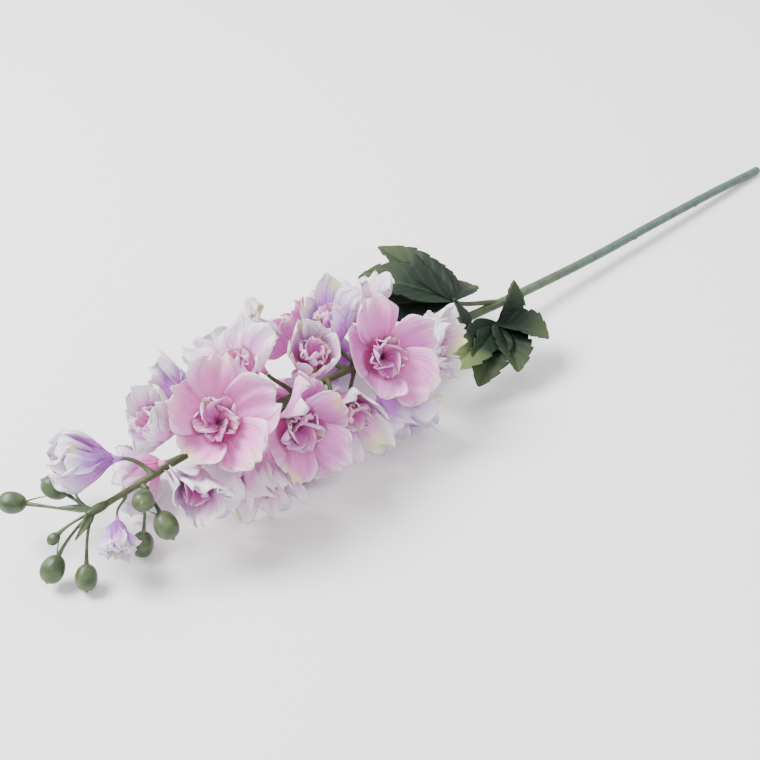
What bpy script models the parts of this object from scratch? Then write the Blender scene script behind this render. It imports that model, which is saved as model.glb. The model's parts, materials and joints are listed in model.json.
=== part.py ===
# A silk larkspur spray lying on a table: a wire-cored plastic stem, two palmate leaves near its
# middle, a dense head of double florets and, at the tip, green buds on thin stalks.
#
# The spray lies along X with its tip towards -X, +Z is up and the table is at z = 0. Everything is
# worked out in millimetres and written to the meshes in metres. Places along the stem are stations:
# x in millimetres, counted so that the cut end is at STEM_CUT.

import math
import random
from collections import namedtuple

import bmesh
import bpy
import numpy as np

METRES = 0.001
TOUCH_GAP = 0.3
SEAM = (0.31, 0.87, 0.38)

# Stem: the height of its axis above the table at each station, and its radius
STEM_CUT = 310.0
STEM_TIP = -300.0
STEM_HEIGHTS = ((310, 3.24), (240, 7.6), (170, 10.4), (100, 12.4), (27, 17.5),
                (-60, 27.0), (-140, 37.0), (-220, 41.0), (-300, 38.0))
STEM_RADII = ((310, 3.5), (27, 3.5), (-80, 2.9), (-220, 2.3), (-300, 1.9))
STEM_SIDES = 8
STEM_STEP = 36.0
CUT_BEVEL = 0.8
SCAR_STATIONS = (287, 252, 219, 182, 161, 143, 119, 93)
SCAR_TURNS = (20, 55, 90)
SCAR_RADIUS = 1.5
SCAR_PROFILE = ((0.0, 1.8), (2.175, 1.05))

# Steel wire inside the stem, open to the cut end
WIRE_RADIUS = 1.0
WIRE_RECESS = 0.6
WIRE_INNER_END = -50.0
WIRE_SIDES = 6
WIRE_RINGS = 12

# Florets: a cone of a calyx, five outer petals and five ruffled inner petals
CALYX_LENGTH = 7.0
CALYX_RADII = (1.2, 3.0)
CALYX_SIDES = 6
CORE_RADII = (1.5, 2.0)
CORE_HEIGHT = 1.8
PETALS = 5
CLOSED_SPREAD = 60
OPEN_SPREAD = 80
CLOSED_INNER_PETALS = 3
HIDDEN_INNER_PETALS = 3
SEEN_TURN = 42
SEEN_ARC = 63
PETAL_THICKNESS = 1.0
PETAL_ROOT_WIDTH = 0.12
PETAL_WIDEST = (0.815, 1.37)
PETAL_TIP_DROP = 0.17
PETAL_NOTCH = 0.09
PETAL_WAVES = 1.5
PROFILE_STEPS = 49

# How each ring of petals is shaped: length, half-width, the radius and height of its root over the
# calyx, the slopes of root and tip as parts of the floret's spread, and the ranges of cupping, of
# twist and of the wave in the tip. Rows and columns are where the petal's grid lies.
Ring = namedtuple("Ring", "length half_width root slopes cup twist wave rows columns hidden_columns")
OUTER = Ring(28.5, 14.2, (1.9, -2.0), (0.42, 1.06), (0.5, 0.85), (0.32, 0.42), (0.78, 1.3),
             (0.0, 0.36, 0.74, 1.0), 5, 4)
INNER = Ring(19.0, 6.0, (1.2, 0.9), (0.08, 0.7), (1.2, 1.6), (0.42, 0.55), (0.6, 1.0),
             (0.0, 0.5, 1.0), 3, 3)
ENVELOPE_FOOT = 2.5
ENVELOPE_TOP = 12.5
ENVELOPE_RISE = 7.0
ENVELOPE_GAP = 1.0
PETAL_SMOOTH = 50
PEDICEL_RADIUS = 1.1
PEDICEL_SIDES = 4
PEDICEL_START = 9.0
PEDICEL_BEND = (5.0, 6.0)

# How florets make room for each other and for the table
SITE_HEIGHT = 7.0
WALL_REACH = 75.0
WALL_MARGIN = 0.75
WALL_SOFTNESS = 3.0
OVERHANG = math.radians(26)
FULL_OVERHANG = 36.0
LIFT = 0.8
PROJECTIONS = 6
LAYER = 0.5
LEAST_ROOM = 0.8
ROLL_TRIALS = 18
GLANCING = 0.25
MOST_ROOM = 1.2
INNER_MARGIN = 1.6
TABLE_MARGIN = 1.3
FOOT_MARGIN = 0.5
FOOT_PRESS = 1.1
LEAF_WALL = ((-85.0, 0.0, 38.0), (0.89, 0.0, -0.45))
BUD_WALL = ((-276.5, 0.0, 38.0), (-1.0, 0.0, 0.0))
BESIDE_BUDS = 4

# One line a floret: station of its foot, turn round the stem (0 is up, 90 faces -Y), reach from the
# stem's axis, lean towards the tip, size, how far the petals open, rank and colour. The higher rank
# of two neighbours lies over the other.
Floret = namedtuple("Floret", "station turn reach lean size spread rank colour foot")


def floret_line(station, turn, reach=17, lean=20, size=1.0, spread=84, rank=1, colour="pale",
                foot=False):
    """A floret's line in the layout, with the usual values filled in."""
    return Floret(station, turn, reach, lean, size, spread, rank, colour, foot)


FLORETS = (
    floret_line(-281, -52, reach=16, lean=64, size=1.0, spread=40, rank=6, colour="lilac"),
    floret_line(-299, 122, reach=8, lean=30, size=0.62, spread=34, rank=1, colour="lilac"),
    floret_line(-252, -2, lean=44, size=0.98, spread=66, rank=3),
    floret_line(-233, 32, reach=19, lean=22, size=1.12, spread=88, rank=9, colour="pink"),
    floret_line(-252, 76, reach=15, lean=38, size=1.04, spread=56, rank=5),
    floret_line(-200, -6, lean=30, size=1.08, spread=80, rank=7),
    floret_line(-168, 22, reach=19, lean=12, size=1.02, spread=74, rank=4),
    floret_line(-139, -8, lean=14, size=1.02, spread=78, rank=5, colour="lilac"),
    floret_line(-126, 48, reach=19, lean=18, size=1.12, spread=84, rank=8, colour="pink"),
    floret_line(-194, 70, reach=18, lean=18, size=1.14, spread=80, rank=8, colour="pink"),
    floret_line(-219, 106, lean=18, size=1.0, spread=76, rank=3),
    floret_line(-130, 108, reach=19, lean=4, size=1.02, spread=78, rank=4, colour="lilac"),
    floret_line(-98, 60, reach=15, lean=-22, size=0.9, spread=74, rank=3),
    floret_line(-161, 80, reach=18, lean=12, size=1.04, spread=78, rank=5),
    floret_line(-232, -62, lean=24, size=1.02, spread=78, rank=5, colour="lilac"),
    floret_line(-184, -48, reach=18, lean=16, size=1.06, spread=80, rank=6),
    floret_line(-146, -62, lean=10, size=1.04, spread=80, rank=7, colour="pink"),
    floret_line(-108, -40, reach=16, lean=2, size=0.96, spread=78, rank=4),
    floret_line(-256, -128, reach=15, lean=34, size=0.92, spread=70, rank=2),
    floret_line(-206, -118, reach=16, lean=18, size=1.0, spread=78, rank=3),
    floret_line(-118, -112, reach=15, lean=2, size=1.0, spread=78, rank=2, colour="lilac"),
    floret_line(-168, -136, reach=18, lean=12, size=1.0, spread=82, rank=4, foot=True),
    floret_line(-192, 156, reach=13, lean=6, size=0.94, spread=78, rank=3, colour="pink"),
    floret_line(-140, 152, reach=17, lean=4, size=0.98, spread=82, rank=3, foot=True),
)

# Leaves: the palm where the lobes meet, then each lobe's tip, its half-width, how far its middle
# arches off the straight line, and the side that its upper face looks to
Lobe = namedtuple("Lobe", "tip half_width arch face")
Leaf = namedtuple("Leaf", "root palm facing lobes")

LEAVES = (
    Leaf(root=2.0, palm=(-42, 4, 40), facing=(-0.7, 0.1, 0.7), lobes=(
        Lobe((-43, 75, 47), 14.0, 5.0, (0.1, -0.2, 1.0)),
        Lobe((-26, 58, 44), 11.5, 4.0, (0.5, -0.1, 1.0)),
        Lobe((-76, 58, 46), 14.0, 8.0, (-0.2, -0.4, 1.0)),
        Lobe((-86, 55, 27), 14.5, 6.0, (-0.5, -0.5, 1.0)),
        Lobe((-13, 15, 33), 9.0, 3.0, (0.3, 0.0, 1.0)),
        Lobe((-60, -20, 22), 8.5, 6.0, (0.2, -1.0, 0.3)))),
    Leaf(root=22.0, palm=(-26, -21, 27), facing=(-0.6, -0.5, 0.6), lobes=(
        Lobe((-3, -12, 46), 13.5, 4.0, (0.2, -1.0, 0.2)),
        Lobe((-9, -50, 23), 15.5, 5.0, (0.3, -0.3, 1.0)),
        Lobe((-43, -55, 17), 13.0, 6.0, (0.0, -0.6, 1.0)),
        Lobe((-68, -45, 13), 13.0, 7.0, (-0.2, -0.5, 1.0)),
        Lobe((-80, -31, 24), 12.5, 6.0, (-0.1, -0.6, 1.0)))),
)
LEAF_THICKNESS = 0.9
LEAF_TEETH = 2
LEAF_TOOTH_DEPTH = 0.2
LEAF_FOLD = 0.22
LEAF_ROOT_WIDTH = 0.14
LEAF_BOSS_RADIUS = 1.9
LEAF_BOSS_HEIGHT = 2.6
PETIOLE_RADIUS = 1.4
PETIOLE_BEND = (0.4, 9.0)

# Buds: the middle of each, its diameter, the way its blunt end points and how far the spur at its
# stalk end trails
Bud = namedtuple("Bud", "middle diameter point spur")

TIP_BUDS = (
    Bud((-334, 42, 30), 12.0, (-0.7, 0.7, 0.1), 15),
    Bud((-313, 33, 34), 12.5, (-0.5, 0.6, 0.6), 0),
    Bud((-300, 50, 27), 10.5, (0.1, 0.9, 0.3), 0),
    Bud((-336, 2, 12), 12.5, (-0.6, -0.1, -0.7), 13),
    Bud((-325, -12, 9), 11.5, (-0.4, -0.4, -0.8), 0),
    Bud((-330, 6, 28), 6.0, (-0.8, 0.1, -0.5), 0),
)
SIDE_BUDS = (
    Bud((-290, -21, 49), 11.5, (-0.4, -0.7, 0.5), 0),
    Bud((-286, -34, 38), 12.5, (-0.1, -0.8, -0.5), 6),
    Bud((-291, -12, 9), 12.0, (-0.3, -0.1, -0.9), 0),
)
BUD_SIDES = 7
BUD_PROFILE = ((-0.66, 0.12), (-0.38, 0.35), (0.02, 0.5), (0.36, 0.36), (0.55, 0.0))
STALK_RADIUS = 0.95
STALK_SIDES = 4
SPUR_RADIUS = 0.55
HUB_PROFILE = ((4.0, 2.6), (9.0, 2.34), (12.0, 1.2))
HUB_ROOT = 8.0
TIP_BOW = (-0.6, 0.0, 0.25)
SIDE_STATION = -280.0
SIDE_WAY = (0.0, -0.99, 0.12)
SIDE_BOW = (-0.11, -0.38, 0.04)
STUB_PROFILE = ((0.0, 1.7), (4.5, 1.5))
STUB_ROOT = 2.5
STUB_GAP = 0.25

# Bracts at the tip's hub: the tip of each and its half-width
TIP_BRACTS = (((-320, 19, 34), 3.0), ((-324, -7, 33), 2.6))

COLOURS = {
    "pale": (0.83, 0.62, 0.77),
    "lilac": (0.66, 0.46, 0.74),
    "pink": (0.85, 0.52, 0.70),
    "throat": (0.78, 0.22, 0.48),
    "leaf": (0.018, 0.045, 0.020),
    "stem": (0.15, 0.20, 0.16),
    "bud": (0.10, 0.15, 0.07),
    "wire": (0.45, 0.45, 0.44),
}


# Vectors and curves

def unit(vector):
    """The vector at length 1."""
    vector = np.asarray(vector, dtype=float)
    return vector / np.linalg.norm(vector)


def smooth_through(stations, x):
    """A smooth curve through (station, value) pairs that fall along x, read at x."""
    xs = np.array([s[0] for s in stations][::-1], dtype=float)
    values = np.array([s[1] for s in stations][::-1], dtype=float)
    slopes = np.gradient(values, xs)
    x = np.clip(np.asarray(x, dtype=float), xs[0], xs[-1])
    i = np.clip(np.searchsorted(xs, x) - 1, 0, len(xs) - 2)
    span = xs[i + 1] - xs[i]
    t = (x - xs[i]) / span
    start = (1 + 2 * t) * (1 - t) ** 2 * values[i] + t * (1 - t) ** 2 * span * slopes[i]
    end = t ** 2 * (3 - 2 * t) * values[i + 1] + t ** 2 * (t - 1) * span * slopes[i + 1]
    return start + end


def stem_axis(x):
    """The point of the stem's axis at station x."""
    return np.array([x, 0.0, float(smooth_through(STEM_HEIGHTS, x))])


def stem_radius(x):
    """The stem's radius at station x."""
    stations = [s[0] for s in STEM_RADII][::-1]
    radii = [s[1] for s in STEM_RADII][::-1]
    return float(np.interp(x, stations, radii))


def bezier(p0, p1, p2, p3, count):
    """Points along a cubic curve, ends included."""
    t = np.linspace(0.0, 1.0, count)[:, None]
    return ((1 - t) ** 3 * p0 + 3 * t * (1 - t) ** 2 * p1 + 3 * t ** 2 * (1 - t) * p2 + t ** 3 * p3)


# Meshes

def add_mesh(name, points, faces):
    """A new object in the scene from points in millimetres and faces."""
    mesh = bpy.data.meshes.new(name)
    mesh.from_pydata([tuple(p) for p in np.asarray(points) * METRES], [], faces)
    mesh.validate()
    obj = bpy.data.objects.new(name, mesh)
    bpy.context.scene.collection.objects.link(obj)
    return obj


def ring_points(centre, radius, side, up, sides):
    """Points evenly round a circle."""
    angles = 2 * math.pi * np.arange(sides) / sides
    return [centre + radius * (math.cos(angle) * side + math.sin(angle) * up) for angle in angles]


def add_tube(name, path, radii, sides, end_normal=None, seam=SEAM):
    """A tube with flat ends along a path; end_normal squares its last end to a direction."""
    path = np.asarray(path, dtype=float)
    tangents = np.gradient(path, axis=0)
    if end_normal is not None:
        tangents[-1] = end_normal
    side = unit(np.cross(tangents[0], seam))
    points = []
    for centre, tangent, radius in zip(path, tangents, radii):
        tangent = unit(tangent)
        side = unit(side - tangent * (side @ tangent))
        up = np.cross(tangent, side)
        points.extend(ring_points(centre, radius, side, up, sides))
    rings = len(path)
    faces = []
    for r in range(rings - 1):
        for k in range(sides):
            a = r * sides + k
            b = r * sides + (k + 1) % sides
            faces.append((a, b, b + sides, a + sides))
    faces.append(tuple(reversed(range(sides))))
    faces.append(tuple(range((rings - 1) * sides, rings * sides)))
    return add_mesh(name, points, faces)


def add_turned(name, foot, direction, profile, sides):
    """A turned solid: profile is (height, radius) pairs up from foot; a radius of 0 is a point."""
    direction = unit(direction)
    side = unit(np.cross(direction, SEAM))
    up = np.cross(direction, side)
    points = []
    rings = []
    for height, radius in profile:
        centre = np.asarray(foot) + height * direction
        if radius == 0:
            rings.append([len(points)] * sides)
            points.append(centre)
            continue
        rings.append(list(range(len(points), len(points) + sides)))
        points.extend(ring_points(centre, radius, side, up, sides))
    faces = []
    for low, high in zip(rings[:-1], rings[1:]):
        for k in range(sides):
            quad = (low[k], low[(k + 1) % sides], high[(k + 1) % sides], high[k])
            faces.append(tuple(dict.fromkeys(quad)))
    if len(set(rings[0])) > 1:
        faces.append(tuple(reversed(rings[0])))
    if len(set(rings[-1])) > 1:
        faces.append(tuple(rings[-1]))
    return add_mesh(name, points, faces)


def add_blade(name, middle, thickness, pressed=False):
    """A closed blade round a grid of mid-surface points: full thickness inside, sharp at the rim.

    Each quad's diagonal runs to the middle of the blade, alike on both faces.
    A pressed blade lies flat on the table wherever its middle comes within FOOT_PRESS of it.
    """
    rows, columns, _ = middle.shape
    along = np.gradient(middle, axis=0)
    across = np.gradient(middle, axis=1)
    normals = np.cross(across, along)
    normals /= np.linalg.norm(normals, axis=2, keepdims=True)
    upper = middle + normals * thickness / 2
    lower = middle - normals * thickness / 2
    if pressed:
        resting = middle[:, :, 2] < FOOT_PRESS
        middle = middle.copy()
        middle[:, :, 2] = np.where(resting, 0.0, middle[:, :, 2])
        for face, sign in ((upper, 1), (lower, -1)):
            rest_height = np.where(normals[:, :, 2] * sign > 0, thickness, 0.0)
            face[:, :, 2] = np.where(resting, rest_height, np.maximum(face[:, :, 2], 0.0))
    points = []
    index = {}
    for r in range(rows):
        for c in range(columns):
            rim = r in (0, rows - 1) or c in (0, columns - 1)
            if rim:
                index["up", r, c] = index["down", r, c] = len(points)
                points.append(middle[r, c])
            else:
                index["up", r, c] = len(points)
                points.append(upper[r, c])
                index["down", r, c] = len(points)
                points.append(lower[r, c])
    faces = []
    for r in range(rows - 1):
        for c in range(columns - 1):
            corners = ((r, c), (r, c + 1), (r + 1, c + 1), (r + 1, c))
            left = c < (columns - 1) / 2
            near = r < (rows - 1) / 2
            split = (0, 1, 2, 0, 2, 3) if left == near else (0, 1, 3, 1, 2, 3)
            for first in (0, 3):
                triangle = [corners[k] for k in split[first:first + 3]]
                faces.append(tuple(index["up", *corner] for corner in triangle))
                faces.append(tuple(index["down", *corner] for corner in reversed(triangle)))
    return add_mesh(name, points, faces)


def fuse(name, pieces):
    """One solid from overlapping pieces: a Boolean union on a collection, applied."""
    body = pieces[0]
    body.name = name
    body.data.name = name
    group = bpy.data.collections.new(name + "_pieces")
    for piece in pieces[1:]:
        group.objects.link(piece)
        bpy.context.scene.collection.objects.unlink(piece)
    union = body.modifiers.new("union", "BOOLEAN")
    union.operation = "UNION"
    union.operand_type = "COLLECTION"
    union.collection = group
    union.solver = "EXACT"
    apply_modifiers(body)
    for piece in pieces[1:]:
        bpy.data.objects.remove(piece)
    bpy.data.collections.remove(group)
    keep_largest(body)
    return body


def keep_largest(body):
    """Keeps the largest shell of a body, without the scraps and sealed hollows beside it."""
    work = bmesh.new()
    work.from_mesh(body.data)
    unseen = dict.fromkeys(work.faces)
    shells = []
    while unseen:
        shell = [next(iter(unseen))]
        del unseen[shell[0]]
        for face in shell:
            joined = [edge for edge in face.edges if len(edge.link_faces) == 2]
            for neighbour in (other for edge in joined for other in edge.link_faces):
                if neighbour in unseen:
                    del unseen[neighbour]
                    shell.append(neighbour)
        shells.append(shell)
    shells.sort(key=len)
    scraps = [face for shell in shells[:-1] for face in shell]
    bmesh.ops.delete(work, geom=scraps, context="FACES")
    work.to_mesh(body.data)
    work.free()


def cut(body, cutter):
    """Takes the cutter's shape out of the body."""
    difference = body.modifiers.new("difference", "BOOLEAN")
    difference.operation = "DIFFERENCE"
    difference.object = cutter
    apply_modifiers(body)
    bpy.data.objects.remove(cutter)


def apply_modifiers(body):
    """Replaces an object's mesh with the one that its modifiers make."""
    depsgraph = bpy.context.evaluated_depsgraph_get()
    made = bpy.data.meshes.new_from_object(body.evaluated_get(depsgraph))
    body.modifiers.clear()
    body.data = made


# Materials

def material(name, roughness=0.7, metallic=0.0):
    """A Principled material with the piece's colour, made once."""
    if name in bpy.data.materials:
        return bpy.data.materials[name]
    made = bpy.data.materials.new(name)
    made.use_nodes = True
    shader = made.node_tree.nodes["Principled BSDF"]
    shader.inputs["Base Color"].default_value = (*COLOURS[name], 1.0)
    shader.inputs["Roughness"].default_value = roughness
    shader.inputs["Metallic"].default_value = metallic
    return made


def finish(body, made, smooth_angle=None):
    """Gives a body its one material, and soft shading below an angle."""
    body.data.materials.clear()
    body.data.materials.append(made)
    if smooth_angle is not None:
        body.data.shade_smooth()
        body.data.set_sharp_from_angle(angle=math.radians(smooth_angle))


# Florets

class FloretFrame:
    """Where a floret sits: its foot on the pedicel, the way it faces and its neighbours' walls."""

    def __init__(self, floret):
        turn = math.radians(floret.turn)
        lean = math.radians(floret.lean)
        radial = np.array([0.0, -math.sin(turn), math.cos(turn)])
        tipward = np.array([-1.0, 0.0, 0.0])
        self.floret = floret
        self.radial = radial
        self.foot = stem_axis(floret.station) + radial * floret.reach
        self.facing = unit(radial * math.cos(lean) + tipward * math.sin(lean))
        self.first = unit(tipward * math.cos(lean) - radial * math.sin(lean))
        self.second = np.cross(self.facing, self.first)
        self.top = self.foot + self.facing * CALYX_LENGTH * floret.size
        self.site = self.top + self.facing * SITE_HEIGHT * floret.size
        self.walls = []
        self.roll = 0.0
        self.resting_petal = None

    def turn_petals(self):
        """Turns the petals to where there is room, and picks the one that the spray rests on."""
        self.roll = best_roll(self)
        if self.floret.foot:
            turns = self.roll + 2 * math.pi * np.arange(PETALS) / PETALS
            drops = np.cos(turns) * self.first[2] + np.sin(turns) * self.second[2]
            self.resting_petal = int(np.argmin(drops))


def set_walls(frames):
    """Walls that florets stay behind: one between each two neighbours, tilted so that the higher
    rank overhangs the other, and those in front of the leaves and the side buds."""
    for i, one in enumerate(frames):
        for other in frames[i + 1:]:
            between = other.site - one.site
            distance = np.linalg.norm(between)
            if distance > WALL_REACH:
                continue
            across = between / distance
            share = one.floret.size / (one.floret.size + other.floret.size)
            point = one.site + between * share
            outward = one.facing + other.facing
            outward = outward - across * (outward @ across)
            tilt = OVERHANG * min(1.0, np.linalg.norm(outward)) * min(1.0, distance / FULL_OVERHANG)
            if np.linalg.norm(outward) > 0.05:
                outward = unit(outward)
            if one.floret.rank < other.floret.rank:
                tilt = -tilt
            normal = unit(math.cos(tilt) * across - math.sin(tilt) * outward)
            one.walls.append((point, normal))
            other.walls.append((point, -normal))
    for frame in frames:
        frame.walls.append((np.array(LEAF_WALL[0]), unit(LEAF_WALL[1])))
    frames[BESIDE_BUDS].walls.append((np.array(BUD_WALL[0]), unit(BUD_WALL[1])))


def bend_clear(points, frame, margin, table, softness):
    """Bends petal points back and up where they would cross a neighbour or the table."""
    shape = points.shape
    p = points.reshape(-1, 3).copy()
    for _ in range(2):
        for point, normal in frame.walls:
            excess = (p - point) @ normal + margin
            push = 0.5 * (excess + np.sqrt(excess ** 2 + WALL_SOFTNESS ** 2))
            along = frame.facing - normal * (frame.facing @ normal)
            p = p - push[:, None] * normal + LIFT * push[:, None] * along
        sunk = table - p[:, 2]
        push = 0.5 * (sunk + np.sqrt(sunk ** 2 + softness ** 2))
        spoke = p - frame.foot
        spoke[:, 2] = 0.0
        spoke /= np.maximum(np.linalg.norm(spoke, axis=1, keepdims=True), 1.0)
        p = p + push[:, None] * spoke * LIFT
        p[:, 2] += push
    for _ in range(PROJECTIONS):
        for point, normal in frame.walls:
            excess = np.maximum((p - point) @ normal + margin, 0.0)
            p = p - excess[:, None] * normal
        p[:, 2] = np.maximum(p[:, 2], table)
    return p.reshape(shape)


def envelope(height, frame):
    """The radius of the surface between a floret's inner and outer petals at a height."""
    openness = min(1.0, frame.floret.spread / OPEN_SPREAD)
    top = ENVELOPE_FOOT + (ENVELOPE_TOP - ENVELOPE_FOOT) * openness * frame.floret.size
    return ENVELOPE_FOOT + (top - ENVELOPE_FOOT) * (1 - np.exp(-np.maximum(height, 0) / ENVELOPE_RISE))


def keep_side(points, frame, outside):
    """Keeps outer petals outside a floret's envelope and inner petals inside it."""
    from_top = points - frame.top
    height = from_top @ frame.facing
    spoke = from_top - height[..., None] * frame.facing
    radius = np.maximum(np.linalg.norm(spoke, axis=-1), 0.01)
    limit = envelope(height, frame)
    if outside:
        wanted = np.where(height > 0.5, np.maximum(radius, limit + ENVELOPE_GAP), radius)
    else:
        wanted = np.minimum(radius, limit - ENVELOPE_GAP)
    return points + spoke * (wanted / radius - 1)[..., None]


def is_seen(floret):
    """Whether a floret is on the side of the stem that is turned up and to the front."""
    return abs(floret.turn - SEEN_TURN) < SEEN_ARC


def inner_count(floret):
    """How many inner petals a floret has: fewer in one that is still closed or lies underneath."""
    if floret.spread < CLOSED_SPREAD:
        return CLOSED_INNER_PETALS
    return PETALS if is_seen(floret) else HIDDEN_INNER_PETALS


def room(frame, turn):
    """How far from a floret's middle its petal can reach before it meets a neighbour's wall."""
    spoke = math.cos(turn) * frame.first + math.sin(turn) * frame.second
    return min((point - frame.site) @ normal / max(spoke @ normal, GLANCING)
               for point, normal in frame.walls)


def best_roll(frame):
    """The turn of the first petal that lets a floret's five petals reach furthest in all."""
    turns = np.linspace(0, 2 * math.pi / PETALS, ROLL_TRIALS, endpoint=False)
    reaches = [sum(min(room(frame, turn + 2 * math.pi * k / PETALS), OUTER.length * MOST_ROOM)
                   for k in range(PETALS)) for turn in turns]
    return float(turns[int(np.argmax(reaches))])


def petal_points(frame, index, inner, rows, columns):
    """The mid-surface of one petal: a cupped, waved and twisted blade on a curved profile."""
    floret = frame.floret
    ring = INNER if inner else OUTER
    draw = random.Random(f"{floret.station} {index} {inner}")
    length = ring.length * floret.size * draw.uniform(0.94, 1.06)
    half_width = ring.half_width * floret.size * draw.uniform(0.94, 1.05)
    spread = math.radians(floret.spread + draw.uniform(-9, 9))
    cup = draw.uniform(*ring.cup)
    twist = draw.uniform(*ring.twist)
    wave = draw.uniform(*ring.wave)
    phase = draw.uniform(0, 2 * math.pi)
    notch = draw.uniform(0.0, PETAL_NOTCH)
    count = inner_count(floret) if inner else PETALS
    turn = frame.roll + 2 * math.pi * index / count + draw.uniform(-0.1, 0.1)
    if inner:
        turn += math.pi / PETALS
    elif floret.spread > CLOSED_SPREAD:
        length *= min(max(room(frame, turn) / (LEAST_ROOM * length), 1.0), MOST_ROOM)

    u = np.linspace(-1, 1, columns)[None, :]
    v = np.asarray(rows)[:, None]
    peak, power = PETAL_WIDEST
    width = PETAL_ROOT_WIDTH + (1 - PETAL_ROOT_WIDTH) * np.sin(math.pi * peak * v ** power)
    reach = v * (1 - PETAL_TIP_DROP * v ** 3 * u ** 2) - notch * v ** 6 * np.exp(-(u / 0.3) ** 2)

    steps = np.linspace(0, 1, PROFILE_STEPS)
    root_slope, tip_slope = (spread * part for part in ring.slopes)
    slopes = root_slope + (tip_slope - root_slope) * steps ** 0.8
    middles = (slopes[1:] + slopes[:-1]) / 2
    root_radius, root_height = (floret.size * part for part in ring.root)
    run = length / (PROFILE_STEPS - 1)
    radii = root_radius + run * np.concatenate(([0], np.cumsum(np.sin(middles))))
    heights = root_height + run * np.concatenate(([0], np.cumsum(np.cos(middles))))
    radius = np.interp(reach, steps, radii)
    height = np.interp(reach, steps, heights)
    slope = np.interp(reach, steps, slopes)

    side = half_width * width * np.sin(cup * u) / cup
    rise = half_width * width * (1 - np.cos(cup * u)) / cup
    rise = rise + twist * side + wave * v ** 2 * np.sin(PETAL_WAVES * math.pi * u + phase)
    spoke = math.cos(turn) * frame.first + math.sin(turn) * frame.second
    tangent = -math.sin(turn) * frame.first + math.cos(turn) * frame.second
    inward = -np.cos(slope)[..., None] * spoke + np.sin(slope)[..., None] * frame.facing
    points = (frame.top + radius[..., None] * spoke + height[..., None] * frame.facing
              + side[..., None] * tangent + rise[..., None] * inward)

    layer = LAYER * (index % 2)
    margin = WALL_MARGIN + layer + (INNER_MARGIN if inner else 0.0)
    resting = not inner and index == frame.resting_petal
    table = FOOT_MARGIN if resting else TABLE_MARGIN + layer
    root = points[0].copy()
    points = bend_clear(points, frame, margin, table, 0.0 if resting else WALL_SOFTNESS)
    points = keep_side(points, frame, outside=not inner)
    points[0] = root
    return points


def build_floret(number, frame):
    """One floret: the calyx with its outer petals, and the core with its inner petals."""
    floret = frame.floret
    size = floret.size
    calyx_profile = ((0, CALYX_RADII[0] * size), (CALYX_LENGTH * size, CALYX_RADII[1] * size))
    outer = [add_turned("calyx", frame.foot, frame.facing, calyx_profile, CALYX_SIDES)]
    core_profile = ((TOUCH_GAP, CORE_RADII[0] * size), (CORE_HEIGHT, CORE_RADII[1] * size))
    inner = [add_turned("core", frame.top, frame.facing, core_profile, CALYX_SIDES)]
    columns = OUTER.columns if is_seen(floret) else OUTER.hidden_columns
    for index in range(PETALS):
        points = petal_points(frame, index, False, OUTER.rows, columns)
        pressed = index == frame.resting_petal
        outer.append(add_blade("petal", points, PETAL_THICKNESS, pressed))
    for index in range(inner_count(floret)):
        points = petal_points(frame, index, True, INNER.rows, INNER.columns)
        inner.append(add_blade("petal", points, PETAL_THICKNESS))
    finish(fuse(f"floret_{number:02d}_outer", outer), material(floret.colour), PETAL_SMOOTH)
    finish(fuse(f"floret_{number:02d}_inner", inner), material("throat"), PETAL_SMOOTH)


# Stem

def pedicel_path(frame):
    """The route of a floret's pedicel, from inside the stem to just short of the calyx."""
    floret = frame.floret
    start = stem_axis(floret.station + PEDICEL_START)
    end = frame.foot - frame.facing * TOUCH_GAP
    leave, arrive = PEDICEL_BEND
    return bezier(start, start + frame.radial * leave, end - frame.facing * arrive, end, 4)


def petiole_path(leaf):
    """The route of a leaf's petiole, from inside the stem to just short of the leaf's boss."""
    start = stem_axis(leaf.root)
    end = np.array(leaf.palm, dtype=float) - unit(leaf.facing) * (LEAF_BOSS_HEIGHT + TOUCH_GAP)
    leave, arrive = PETIOLE_BEND
    return bezier(start, start + (end - start) * leave, end - unit(leaf.facing) * arrive, end, 6)


def build_stem(frames):
    """The moulded stem with its leaf scars, pedicels and petioles, bored for the wire."""
    count = int(round((STEM_CUT - STEM_TIP) / STEM_STEP)) + 1
    stations = np.linspace(STEM_CUT - CUT_BEVEL, STEM_TIP, count)
    path = [stem_axis(STEM_CUT)] + [stem_axis(x) for x in stations]
    radii = [stem_radius(STEM_CUT) - CUT_BEVEL] + [stem_radius(x) for x in stations]
    half_side = math.pi / STEM_SIDES
    seam = (0.0, math.sin(half_side), math.cos(half_side))
    pieces = [add_tube("stem", path, radii, STEM_SIDES, end_normal=(-1, 0, 0), seam=seam)]
    for k, x in enumerate(SCAR_STATIONS):
        angle = math.radians(SCAR_TURNS[k % len(SCAR_TURNS)])
        out = np.array([0, -math.sin(angle), math.cos(angle)])
        foot = stem_axis(x) + out * (stem_radius(x) - SCAR_RADIUS)
        pieces.append(add_turned("scar", foot, out, SCAR_PROFILE, 5))
    for frame in frames:
        path = pedicel_path(frame)
        radii = np.linspace(PEDICEL_RADIUS * 1.25, PEDICEL_RADIUS * frame.floret.size, len(path))
        pieces.append(add_tube("pedicel", path, radii, PEDICEL_SIDES, end_normal=frame.facing))
    for leaf in LEAVES:
        path = petiole_path(leaf)
        radii = np.linspace(PETIOLE_RADIUS * 1.2, PETIOLE_RADIUS, len(path))
        pieces.append(add_tube("petiole", path, radii, PEDICEL_SIDES, end_normal=leaf.facing))
    stem = fuse("stem", pieces)
    bore = wire_tube("bore", WIRE_RADIUS + TOUCH_GAP, STEM_CUT + 2, WIRE_INNER_END - TOUCH_GAP)
    cut(stem, bore)
    finish(stem, material("stem", roughness=0.75), 40)


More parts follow.
